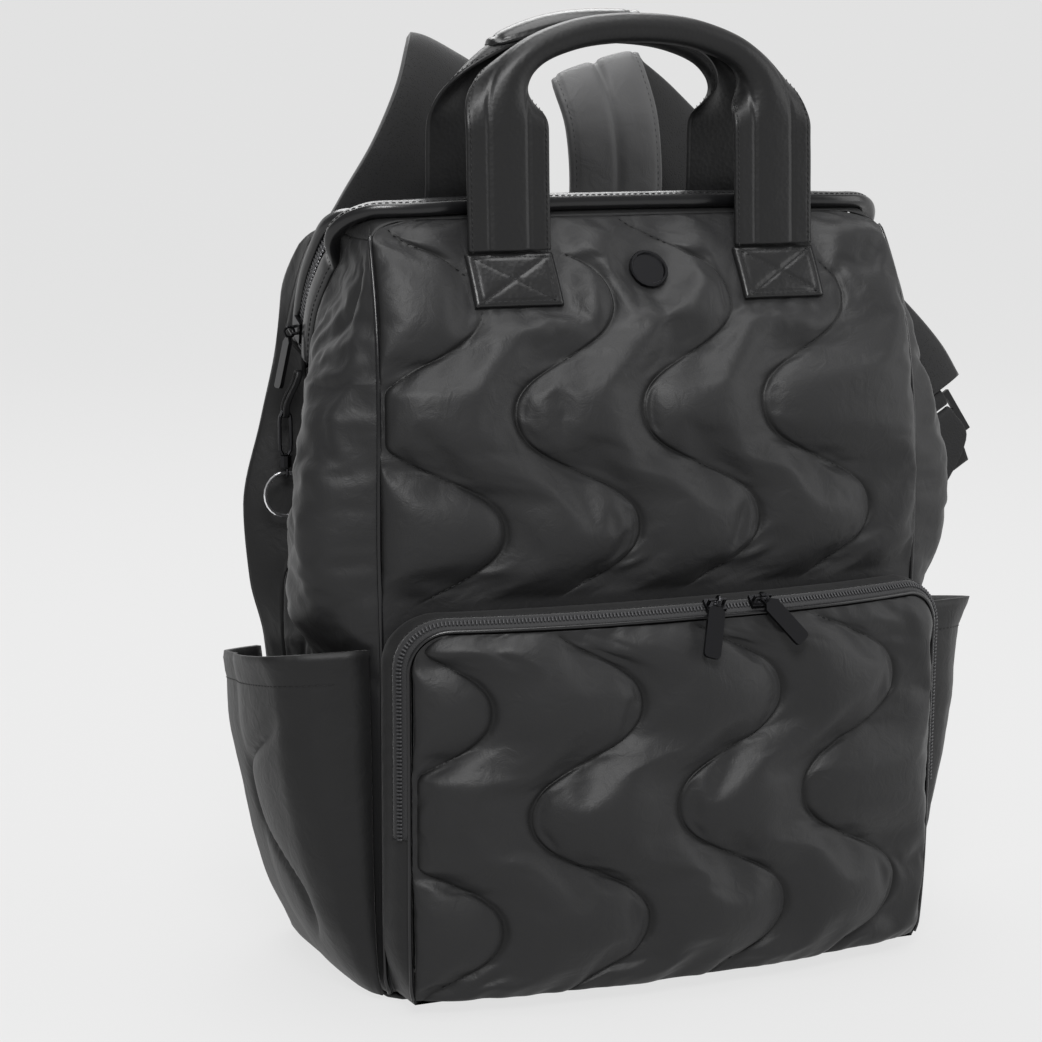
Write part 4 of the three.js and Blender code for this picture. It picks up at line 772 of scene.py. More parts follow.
def side_panels(side, name, frames):
    """Padded side in front of the zip with its puckers, and the smooth one behind it."""
    line = frames[0][:, 0] * side > 0
    at, front = frames[0][line], frames[3][line]
    order = np.argsort(at[:, 2])
    front_line = (at + front * (ZIP_HALF + 2 * (SEAT + BINDING_FRONT_HALF) + BINDING_CLEAR_FRONT))[order]
    back_line = (at - front * (ZIP_HALF + 2 * (SEAT + BINDING_BACK_HALF) + BINDING_CLEAR_BACK))[order]
    low_front = front_line[:, 2] < PANEL_TOP - 2
    low_back = back_line[:, 2] < PANEL_TOP - 2

    def edge(z, line, gap, start, end):
        opening = fade(z, ZIP_FOOT - start, ZIP_FOOT - end)
        return mix(Body(z).zip + gap, np.interp(z, line[:, 2], line[:, 1]), opening)

    step = 3.0
    by_zip = [ZIP_FOOT - 11.5, ZIP_FOOT - 9.5, ZIP_FOOT - 8]
    levels = np.unique(np.concatenate([quilt_rows(FOOT, PANEL_TOP - 9, step), by_zip]))
    cols = 40
    t = np.linspace(0, 1, cols + 1)[None, :]
    z = np.repeat(levels[:, None], cols + 1, 1)
    share = t * side_share(edge(levels, front_line[low_front], -SEAM_GAP, *MOUTH_OPENS), levels)[:, None]
    grid = side_point(side, share, z)
    span = (edge(levels, front_line[low_front], 0, *MOUTH_OPENS) + Body(levels).front)[:, None]
    swing = SIDE_SWING * seam_swing(z, UPPER_BULGE) / span
    place = np.mod(t * SIDE_BAYS + swing * SIDE_BAYS, 1.0)
    ends = fade(t, 0, 0.1) * (1 - fade(t, 0.72, 0.92))
    rise = ends * fade(z, HEM_FRONT - 12, HEM_FRONT + 24) * (1 - fade(z, PANEL_TOP - 34, PANEL_TOP - 10))
    pucker = ripple(points(z, t * 26, 0), 9, 5 + side, 2)
    near = np.exp(-(t**2) / 0.03) + 0.5 * np.exp(-((t - 1) ** 2) / 0.02)
    flip = (lambda g: g) if side > 0 else (lambda g: g[:, ::-1])
    above_pocket = fade(z, HEM_FRONT - 10, HEM_FRONT + 10)
    inside = fade(t, 0, 0.05) * (1 - fade(t, 0.95, 1))
    lift = (1 + 3.4 * (1 - fade(t, 0.3, 0.75))) * puff_profile(place) * rise
    lift = lift + 0.6 * pucker * np.minimum(near, 1) * above_pocket * inside
    sunk = fade(z, HEM_FRONT + 4, 238) * (1 - fade(z, 284, ZIP_FOOT + 6))
    sink = SIDE_SINK * fade(t, 0.1, 0.42) * (1 - fade(t, 0.82, 1)) * sunk
    folds = ripple(points(z * 0.9 + t * 30, t * 55 - z * 0.25, 0), 19, 15 + side, 2)
    open_cloth = fade(z, HEM_FRONT, HEM_FRONT + 16) * (1 - fade(z, 330, PANEL_TOP - 12))
    loose = fade(t, 0.02, 0.12) * (1 - fade(t, 0.86, 0.98)) * open_cloth
    lift += SIDE_FOLD * loose * (0.4 - np.abs(folds) * 1.6) - sink
    outer = grid + np.array([side, 0, 0]) * lift[..., None]
    inner = grid - np.array([side, 0, 0]) * (WALL + sink)[..., None]
    outer, inner = flip(outer), flip(inner)
    held = np.zeros(outer.shape[:2], bool)
    held[[0, -1], :] = True
    held[:, [0, -1]] = True
    held |= flip(z < HEM_FRONT - 30)
    crease = np.abs(place - np.round(place)) < 0.5 * SIDE_BAYS / cols
    held |= flip(crease & (rise > 0.05))
    outer = inflate("side_under_air", outer, held, SIDE_AIR_MOST, **SIDE_AIR)
    padded_piece(f"{name}_side_puffer", outer, inner, PUFF, [f"{name}_side_front"])
    flipped = flip(outer)
    front_rim = np.vstack([flipped[levels > ZIP_FOOT - 10, -1], flipped[-1, ::-1]])

    levels = np.unique(np.concatenate([quilt_rows(FOOT, PANEL_TOP - 12, 4.5), [ZIP_FOOT - 6.5, ZIP_FOOT]]))
    t = np.linspace(0, 1, 11)[None, :]
    z = np.repeat(levels[:, None], 11, 1)
    start = side_share(edge(levels, back_line[low_back], SEAM_GAP, *MOUTH_OPENS_BACK), levels)[:, None]
    share = mix(start, 1, t)
    outer = side_point(side, share, z)
    inner = outer - np.array([side * WALL, 0, 0])
    soft = 0.8 * ripple(outer, 16, 9 + side) * np.sin(math.pi * t)
    outer = outer + np.array([side, 0, 0]) * soft[..., None]
    verts, faces = wall_between(flip(outer), flip(inner))
    plain_piece(f"{name}_side_rear", verts, faces, SHELL, [f"{name}_side_back"])
    return front_rim, np.vstack([outer[levels > ZIP_FOOT - 8, 0], outer[-1]])


BACK_CHANNEL = 1.6


def back_cloth():
    levels = quilt_rows(FOOT, PANEL_TOP, 4)
    u = np.linspace(1, -1, 81)[None, :]
    z = np.repeat(levels[:, None], 81, 1)
    outer = back_point(u, z)
    padded = fade(z, 20, 50) * (1 - fade(z, 300, 335)) * (1 - np.abs(u) ** 8)
    channel = BACK_CHANNEL * (0.5 - 0.5 * np.cos(4 * math.pi * u)) * padded
    outer[..., 1] += channel + 0.5 * ripple(outer, 24, 21) * (1 - np.abs(u) ** 6)
    inner = back_point(np.repeat(u, len(levels), 0), z, WALL)
    verts, faces = wall_between(outer, inner)
    plain_piece("back_cloth", verts, faces, SHELL, ["back_panel"])


def base_cloth():
    z = FOOT - 0.3
    front = front_point(np.linspace(-0.97, 0.97, 41), z)
    right = side_point(1, np.linspace(0.04, 0.96, 15), z)
    back = back_point(np.linspace(0.97, -0.97, 31), z)
    left = right[::-1] * np.array([-1, 1, 1])
    ring = np.vstack([front, right, back, left])[:, :2]
    centre = ring.mean(0)
    rows = []
    for inset, height in [(4.5, 0), (2, 0.15), (0.7, 0.9), (0.5, 2), (1.2, 2.9), (4.5, 3.0)]:
        pull = ring - centre
        rows.append(np.column_stack([ring - unit(pull) * inset, np.full(len(ring), height)]))
    verts, faces = tube_through(np.array(rows))
    plain_piece("base_cloth", verts, faces, SHELL, ["base_panel"])


def side_pocket(side, name):
    clear = 1
    t_rows = quilt_rows(0, 1, 0.022)
    shares = np.linspace(0, 1, 57)
    share = np.repeat(shares[None, :], len(t_rows), 0)
    t = np.repeat(t_rows[:, None], len(shares), 1)
    z = mix(FOOT, mix(HEM_FRONT, HEM_BACK, share), t)
    b = Body(z)
    stand = SIDE_POCKET_BULGE * column(POCKET_RISE, "out", t) * column(POCKET_SPAN, "out", share)

    def layer(inset):
        y = mix(-b.front + clear + inset, b.rear - clear - inset, share)
        body = np.abs(side_point(side, side_share(y, z), z)[..., 0])
        hollow = np.maximum(body, mix(b.width, b.back_width, share))
        return points(side * (hollow + clear + SIDE_POCKET_WALL + stand - inset), y, z)

    outer, inner = layer(0), layer(SIDE_POCKET_WALL)
    swing = 0.42 + 0.2 * wave(2 * math.pi * (z - 98) / QUILT_PERIOD) - 0.0008 * (z - 98)
    crease = np.exp(-(((share - swing) / 0.035) ** 2)) * (1 - fade(z, 128, 150)) * fade(z, 12, 40)
    near = np.exp(-share / 0.12) + 0.7 * np.exp(-(1 - share) / 0.12)
    folds = ripple(points(0 * z, share * 60, z * 0.9), 13, 31 + side) * near
    hem = fade(t, 0.915, 0.925)
    edge_line = np.exp(-(((t - 0.92) / 0.008) ** 2))
    ends = fade(share, 0, 0.05) * (1 - fade(share, 0.95, 1))
    full = 3.0 * (1 - np.exp(-np.abs(share - swing) / 0.12)) * (1 - fade(z, 120, 160)) * fade(z, 10, 50)
    lift = full - 2.6 * crease + 1.5 * folds * (1 - hem) - 0.8 * edge_line + 0.5 * hem
    outer[..., 0] += side * lift * ends * fade(t, 0, 0.06)
    round_hem = 1.1 * fade(t, 0.985, 1)
    outer[..., 0] -= side * round_hem
    flip = (lambda g: g) if side > 0 else (lambda g: g[:, ::-1])
    verts, faces = wall_between(flip(outer), flip(inner))
    plain_piece(f"{name}_side_pocket_cloth", verts, faces, SHELL, [f"{name}_side_pocket"])
    row = int(np.argmin(np.abs(t_rows - 0.905)))
    out = unit(np.cross(np.gradient(outer, axis=1), np.gradient(outer, axis=0))) * side
    return outer[row, 2:-2] + out[row, 2:-2] * 0.2, out[row, 2:-2]


# Mouth: bindings, zip and the line they follow
def mouth_frames(count):
    top = Body(PANEL_TOP)
    edge = float(top.width)
    zip_y = float(top.zip)

    def side(sign):
        z = mix(ZIP_FOOT, PANEL_TOP - 6, np.array([0, 0.25, 0.5, 0.72, 0.9]))
        return side_point(sign, side_share(Body(z).zip, z), z)

    def turn(sign):
        return [
            (sign * (edge - 0.12 * MOUTH_CORNER), mix(zip_y, MOUTH_Y, 0.3), PANEL_TOP - 1),
            (sign * (edge - 0.45 * MOUTH_CORNER), mix(zip_y, MOUTH_Y, 0.75), MOUTH_Z - 1),
            (sign * (edge - MOUTH_CORNER), MOUTH_Y, MOUTH_Z),
        ]

    middle = [(u * edge, MOUTH_Y, MOUTH_Z + MOUTH_ARCH * (1 - u * u)) for u in (-0.5, 0, 0.5)]
    left = [*side(-1), *turn(-1)]
    right = [*side(1), *turn(1)][::-1]
    at = smooth_path([*left, *middle, *right], count)
    along = tangents(at)
    over = fade(at[:, 2], PANEL_TOP - 14, MOUTH_Z - 0.5)
    out = points(np.sign(at[:, 0]) * (1 - over), 0, over)
    out = unit(out - along * (out * along).sum(-1, keepdims=True))
    return at, along, out, np.cross(along, out)


def ribbon_grid(at, side, out, profile):
    """Places beside a line: profile gives (step sideways, lift) pairs."""
    return np.stack([at + side * a + out * lift for a, lift in profile], axis=1)


def mouth_trim(frames):
    at, _, out, front = frames
    tape_half = ZIP_HALF - 0.7
    tape = [(a * tape_half, 0.4 + 0.5 * (1 - abs(a)) ** 0.5) for a in np.linspace(-1, 1, 7)]
    under = [(a * tape_half, -0.8) for a in np.linspace(-1, 1, 7)]
    verts, faces = wall_between(ribbon_grid(at, front, out, tape), ribbon_grid(at, front, out, under))
    plain_piece("mouth_zip_tape", verts, faces, TAPE, ["main_zip"])
    run = np.concatenate([[0], np.cumsum(np.linalg.norm(np.diff(at, axis=0), axis=1))])
    wobble = 0.25 * ripple(np.stack([run, run * 0, run * 0], -1), 14, 41)[:, None, None]

    def binding(name, node, offset, half, height, seam_at):
        angles = np.linspace(0, 2 * math.pi, 28, endpoint=False)
        rows = []
        for a in angles:
            bulge_a = np.sign(math.sin(a)) * abs(math.sin(a)) ** 0.75
            bulge_h = np.sign(math.cos(a)) * abs(math.cos(a)) ** 0.8
            groove = 1 - 0.16 * math.exp(-(((math.sin(a) - seam_at) / 0.12) ** 2)) * (math.cos(a) > 0)
            rows.append((half * 0.985 * bulge_a, height / 2 * bulge_h * groove))
        grid = np.stack([at + front * (offset + a) + out * h for a, h in rows], axis=1)
        middle = (at + front * offset)[:, None]
        grid = middle + (grid - middle) * (1 - np.abs(wobble) * 0.12)
        verts, faces = tube_through(grid[:, ::-1])
        plain_piece(name, verts, faces, BINDING, [node])

    front_at = ZIP_HALF + SEAT + BINDING_FRONT_HALF
    back_at = -(ZIP_HALF + SEAT + BINDING_BACK_HALF)
    seam_share = 0.62
    front_size = (BINDING_FRONT_HALF, BINDING_FRONT_HEIGHT)
    back_size = (BINDING_BACK_HALF, BINDING_BACK_HEIGHT)
    binding("mouth_binding_front_leather", "mouth_binding_front", front_at, *front_size, seam_share)
    binding("mouth_binding_back_leather", "mouth_binding_back", back_at, *back_size, -0.5)
    seam = at + front * (front_at + seam_share * BINDING_FRONT_HALF) + out * (BINDING_FRONT_HEIGHT / 2 * 0.78)
    return seam, out


def lip(name, rim, target):
    """Strip of cloth that joins a panel's rim to the underside of the binding."""
    import bmesh

    gap = np.linalg.norm(rim[:, None] - target[None], axis=-1)
    rows = mix(rim[:, None], target[gap.argmin(1)][:, None], np.linspace(0, 1, 5)[None, :, None])
    inward = unit(np.array([0, 0, 200.0]) - rows) * 0.7
    verts, faces = wall_between(rows, rows + inward)
    piece = plain_piece(name, verts, faces, SHELL)
    work = bmesh.new()
    work.from_mesh(piece.data)
    bmesh.ops.recalc_face_normals(work, faces=work.faces)
    work.to_mesh(piece.data)
    work.free()
    return piece


def mouth_lips(frames, rims):
    at, _, out, front = frames
    front_under = at + front * (ZIP_HALF + SEAT + BINDING_FRONT_HALF) - out * 2.5
    back_under = at - front * (ZIP_HALF + SEAT + BINDING_BACK_HALF) - out * 2
    z = np.linspace(PANEL_TOP - 18, PANEL_TOP, 24)
    u = np.linspace(-1, 1, 90)
    top = np.full(90, PANEL_TOP)
    front_rim = np.vstack([front_point(-1, z), front_point(u, top), front_point(1, z[::-1])])
    back_rim = np.vstack([back_point(-1, z), back_point(u, top), back_point(1, z[::-1])])
    lip("front_panel_top_edge", front_rim, front_under)
    lip("back_panel_top_edge", back_rim, back_under)
    for side_name, (front_side, back_side) in rims.items():
        lip(f"{side_name}_side_top_edge", front_side, front_under)
        lip(f"{side_name}_rear_top_edge", back_side, back_under)


def piping(name, line, radius, material):
    along = tangents(line)
    side = unit(np.cross(along, np.array([0.3, 0.9, 0.2])))
    up = np.cross(along, side)
    turns = np.linspace(0, 2 * math.pi, 8, endpoint=False)
    rings = np.stack([line + (side * math.cos(a) + up * math.sin(a)) * radius for a in turns], axis=1)
    verts, faces = tube_through(rings[:, ::-1])
    return plain_piece(name, verts, faces, material)


def seam_piping():
    z = np.linspace(FOOT + 1, PANEL_TOP - 8, 160)
    for sign, side_name in ((-1, "left"), (1, "right")):
        b = Body(z)
        line = points(sign * (b.width - SEAM_GAP - corner_take(z) + 0.3), -b.front + 0.2, z)
        piping(f"{side_name}_front_piping", line, 1.15, BINDING)
    rows = pocket_outline(2.6)
    x, z, nx, nz = rows.T[:4]
    keep = z > POCKET_FOOT + 0.5
    line = pocket_point(x[keep] + nx[keep] * 0.4, z[keep] + nz[keep] * 0.4, POCKET_DEPTH + 0.3)
    piping("front_pocket_piping", line, 0.95, BINDING)


# Handles
HEM_SHARE = 0.455
FOLD_SHARE = 0.24
ROLL_TURN = 2 * math.pi * 0.94
ROLL_START = ARCH_START + 8
ROLL_END = GRIP_START + 14
PAD_SEAM = 0.84


def handle_line(feet_y, feet_z, lean, start, steps):
    radius = HANDLE_STRAP / ROLL_TURN
    top = HANDLE_TOP - radius
    lean_at = lambda z: feet_y + lean * (z - feet_z) / (HANDLE_TOP - feet_z)
    profile = [
        (1, mix(feet_z, ARCH_START, 0.35)),
        (1, ARCH_START),
        (0.99, mix(ARCH_START, GRIP_START, 0.6)),
        (0.93, GRIP_START - 3),
        (0.78, mix(GRIP_START, top, 0.4)),
        (0.5, mix(GRIP_START, top, 0.82)),
        (0.2, top),
    ]

    def leg(side):
        foot = [(side * HANDLE_X, y, z) for y, z in start]
        return foot + [(side * x * HANDLE_X, lean_at(z), z) for x, z in profile]

    return smooth_path([*leg(-1), *leg(1)[::-1]], steps)


def handle_grid(at, out_way, a, inset):
    """Strap that is flat at the feet and rolls into a grip; a runs across it from -0.5 to 0.5."""
    along = tangents(at)
    normal = unit(out_way - along * (along @ out_way)[:, None])
    lateral = np.cross(along, normal)
    roll = (ROLL_TURN * fade(at[:, 2], ROLL_START, ROLL_END) + 0.02)[:, None, None]
    radius = HANDLE_STRAP / roll
    angle = a[None, :, None] * roll
    reach = radius - np.broadcast_to(np.asarray(inset, float), (len(at), len(a)))[..., None]
    across = lateral[:, None] * reach * np.sin(angle)
    return at[:, None] + across + normal[:, None] * (reach * np.cos(angle) - radius)


def handle(name, node, start, feet_y, feet_z, lean, out_way):
    steps = 210
    at = handle_line(feet_y, feet_z, lean, start, steps)
    a = np.linspace(-0.5, 0.5, 45)
    folds = np.exp(-(((np.abs(a) - FOLD_SHARE) / 0.022) ** 2))
    hem = np.exp(-(((np.abs(a) - HEM_SHARE) / 0.014) ** 2))
    flat = (1 - fade(at[:, 2], ARCH_START + 4, GRIP_START + 8))[:, None]
    rounded = 1.1 * np.clip((np.abs(a) - 0.47) / 0.03, 0, 1) ** 2
    dent = 0.75 * folds[None, :] * (0.35 + 0.65 * flat) + 0.3 * hem[None, :] + rounded[None, :]
    pad = 0.5 * (1 - (np.abs(a) / FOLD_SHARE) ** 2).clip(0)[None, :] * flat
    soft = 0.22 * ripple(points(at[:, None, 2], a[None, :] * 45, np.sign(at[:, None, 0]) * 9), 15, 51)
    outer = handle_grid(at, out_way, a, dent - pad + soft * 0.6)
    inner = handle_grid(at, out_way, a, HANDLE_WALL - rounded[None, :])
    verts, faces = wall_between(outer, inner)
    plain_piece(name, verts, faces, LEATHER, [node])
    lines = [handle_grid(at, out_way, np.array([c]), 0.1)[:, 0] for c in (-HEM_SHARE, HEM_SHARE)]
    below = [handle_grid(at, out_way, np.array([c]), 6.0)[:, 0] for c in (-HEM_SHARE, HEM_SHARE)]
    return at, [(line, unit(line - low)) for line, low in zip(lines, below)]


def handles():
    forward = np.array([0, -1.0, 0])
    backward = np.array([0, 1.0, 0])
    u = (HANDLE_X - HANDLE_STRAP / 2) / (float(Body(PATCH_TOP).width) - SEAM_GAP)
    front_y = float(front_point(u, PATCH_TOP)[1]) - 2 * SEAT - HANDLE_WALL
    start = [(front_y, PATCH_TOP + PATCH_THICK)]
    front = handle("front_handle_leather", "front_handle", start, front_y, PATCH_TOP, HANDLE_LEAN, forward)
    back_top = PANEL_TOP - 3.6
    foot = back_point(HANDLE_X / float(Body(back_top).back_width), back_top + 0.9)
    start = [(foot[1], foot[2] + HANDLE_WALL + SEAT), (foot[1] - 2.5, foot[2] + HANDLE_WALL + SEAT + 2.5)]
    back = handle("back_handle_leather", "back_handle", start, foot[1] - 4, PANEL_TOP, -HANDLE_LEAN, backward)
    grip = grip_pad(back[0], backward)
    return front, back, grip


def grip_pad(at, out_way):
    """Oval pad sewn over the top of the back grip."""
    radius = HANDLE_STRAP / ROLL_TURN
    t = np.sin(np.linspace(-1, 1, 61) * math.pi / 2)
    share = np.linspace(0, 1, len(at))
    centre = np.stack([np.interp(0.44 + 0.1 * t, share, at[:, k]) for k in range(3)], -1)
    along = tangents(centre)
    normal = unit(out_way - along * (along @ out_way)[:, None])
    lateral = np.cross(along, normal)
    middle = centre - normal * radius
    opening = 0.35 + 1.15 * np.sqrt(np.maximum(0, 1 - t * t))
    a = np.linspace(-1, 1, 25)

    def layer(lift):
        angle = math.pi * 0.5 + a[None, :] * opening[:, None]
        reach = (radius + lift)[..., None]
        way = lateral[:, None] * np.sin(angle)[..., None] + normal[:, None] * np.cos(angle)[..., None]
        return middle[:, None] + way * reach

    rim = np.maximum(np.abs(a)[None, :], np.abs(t)[:, None])
    seam = np.exp(-(((rim - PAD_SEAM) / 0.04) ** 2))
    height = 2.7 - 1.5 * fade(rim, 0.92, 1) - 0.7 * seam
    flat = np.full_like(height, 0.9)
    verts, faces = wall_between(layer(height), layer(flat))
    plain_piece("back_grip_pad_leather", verts, faces, PATCH, ["back_grip_pad"])
    ring = np.linspace(0, 2 * math.pi, 90, endpoint=False)
    ta, aa = PAD_SEAM * np.cos(ring), PAD_SEAM * np.sin(ring)
    c = np.stack([np.interp(0.44 + 0.1 * ta, share, at[:, k]) for k in range(3)], -1)
    n = np.stack([np.interp(ta, t, normal[:, k]) for k in range(3)], -1)
    l = np.stack([np.interp(ta, t, lateral[:, k]) for k in range(3)], -1)
    o = np.interp(ta, t, opening)
    angle = (math.pi * 0.5 + aa * o)[:, None]
    way = l * np.sin(angle) + n * np.cos(angle)
    line = c - n * radius + way * (radius + 2.15)
    return np.vstack([line, line[:1]]), np.vstack([way, way[:1]])


# Patches and tabs
def lay_on(surface, out_sign, xs, zs, share, heights):
    x, z = np.meshgrid(xs, zs)
    u = share(x, z)
    place = surface(u, z)
    du = surface(u + 0.01, z) - surface(u - 0.01, z)
    dz = surface(u, z + 1) - surface(u, z - 1)
    normal = unit(np.cross(du, dz))
    normal = np.where(normal[..., 1:2] * out_sign < 0, -normal, normal)
    return [place + normal * np.asarray(h)[..., None] for h in heights]


on_front = lambda x, z: x / (Body(z).width - SEAM_GAP)
on_back = lambda x, z: x / (Body(z).back_width - SEAM_GAP)


PATCH_SEAM = 0.84


def patch(name, node, surface, sign, share, centre, half, low, high, lift, thick, cross=True):
    """Leather patch with a sewn border, and a cross where it holds a handle; returns its seams."""
    cols, rows = 41, 25
    xs = np.linspace(centre - half, centre + half, cols)
    zs = np.linspace(low, high, rows)
    a = np.linspace(-1, 1, cols)[None, :] * np.ones((rows, 1))
    b = np.linspace(-1, 1, rows)[:, None] * np.ones((1, cols))
    rim = np.maximum(np.abs(a), np.abs(b))
    height = lift + thick - 0.9 * np.clip((rim - 0.9) / 0.1, 0, 1) ** 2
    line = np.exp(-(((rim - PATCH_SEAM) / 0.035) ** 2))
    height = height - 0.35 * line
    if cross:
        arms = np.minimum(np.abs(a - b), np.abs(a + b))
        inside = rim < PATCH_SEAM
        field = 0.55 * np.sqrt(np.clip(arms * (PATCH_SEAM - rim) * 3, 0, 1))
        height = height + inside * (field - 0.45 * np.exp(-((arms / 0.07) ** 2)))
    outer, inner = lay_on(surface, sign, xs, zs, share, [height, np.full_like(height, lift)])
    if sign > 0:
        outer, inner = outer[:, ::-1], inner[:, ::-1]
    verts, faces = wall_between(outer, inner)
    plain_piece(name, verts, faces, PATCH, [node])
    border = np.linspace(-PATCH_SEAM, PATCH_SEAM, 17)
    edge = np.full(17, PATCH_SEAM)
    round_x = np.concatenate([border, edge, -border, -edge])
    round_z = np.concatenate([-edge, border, edge, -border])
    loops = [np.stack([round_x, round_z], -1)]
    if cross:
        d = np.linspace(-0.8, 0.8, 24)
        loops += [np.stack([d, d], -1), np.stack([d, -d], -1)]
    stitches = []
    for loop in loops:
        x = centre + loop[:, 0] * half
        z = mix(low, high, (loop[:, 1] + 1) / 2)
        u = share(x, z)
        place = surface(u, z)
        du = surface(u + 0.01, z) - surface(u - 0.01, z)
        dz = surface(u, z + 1) - surface(u, z - 1)
        n = unit(np.cross(du, dz))
        n = np.where(n[:, 1:2] * sign < 0, -n, n)
        stitches.append((place + n * (lift + thick - 0.25), n))
    return stitches


# Shoulder straps
STRAP_FOOT = 340
STRAPS = {
    "left": [
        (-48, 12, 0, 1, 0, 0), (-48, 12, 20, 1, 0, 0), (-48, 12, 44, 1, 0, 0), (-47, 13, 72, 1, 0, 0),
        (-46, 13, 104, 1, 0, -0.1), (-46, 11, 123, 0.95, 0, -0.3), (-50, 2, 131, 0.88, 0, -0.47),
        (-57, -8, 125, 0.85, 0.1, -0.5), (-66, -14, 105, 0.86, 0.2, -0.45), (-77, -14, 78, 0.92, 0.1, -0.38),
        (-92, -4, 46, 0.9, 0, -0.4), (-106, 11, 12, 0.95, 0, -0.3), (-111, 15, -30, 1, 0, -0.1),
        (-112, 16, -90, 1, 0, 0), (-110, 16, -150, 1, 0, 0), (-108, 15, -200, 1, 0, 0),
    ],
    "right": [
        (48, 12, 0, 1, 0, 0), (49, 12, 20, 1, 0, 0), (51, 11, 40, 1, 0, 0), (52, 8, 61, 1, 0, 0),
        (49, 8, 98, 1, 0, 0.1), (45, 14, 119, 0.97, 0, 0.2), (47, 24, 126, 0.96, 0, 0.27),
        (56, 34, 119, 0.9, 0, 0.4), (82, 41, 98, 0.75, 0, 0.62), (122, 44, 64, 0.7, 0, 0.7),
        (166, 45, 30, 0.7, 0, 0.7), (210, 45, -2, 0.74, 0, 0.66), (243, 44, -30, 0.82, 0, 0.5),
        (265, 42, -54, 0.85, 0, 0.5), (276, 40, -72, 0.85, 0, 0.5),
    ],
}
LOCK_BAR = 4
LOCK_SLOT = 8
LOCK_THICK = 3
LOCK_DROP = 18
LAYER_LIFT = LOCK_THICK / 2 + SEAT + WEBBING_THICK / 2
STRIP_SHAPE = [
    (-1, 0.2), (-0.97, 0.85), (-0.9, 1), (-0.5, 0.94), (0, 1), (0.5, 0.94), (0.9, 1), (0.97, 0.85), (1, 0.2),
]


def strip_frames(places, across, steps):
    at = smooth_path(places, steps)
    width = unit(smooth_path(across, steps))
    along = tangents(at)
    return at, width, unit(np.cross(width, along))


def flat_strip(places, across, half, thick, steps):
    at, width, out = strip_frames(places, across, steps)
    face = ribbon_grid(at, width, out, [(a * half, h * thick / 2) for a, h in STRIP_SHAPE])
    under = ribbon_grid(at, width, out, [(a * half, -h * thick / 2) for a, h in STRIP_SHAPE])
    return wall_between(face, under)


def strap_face(a):
    """Height of the padded face at a share of the half width, with its groove in the middle."""
    return 0.3 + 0.66 * (1 - a**5) - 0.36 * np.exp(-((a / 0.09) ** 2))


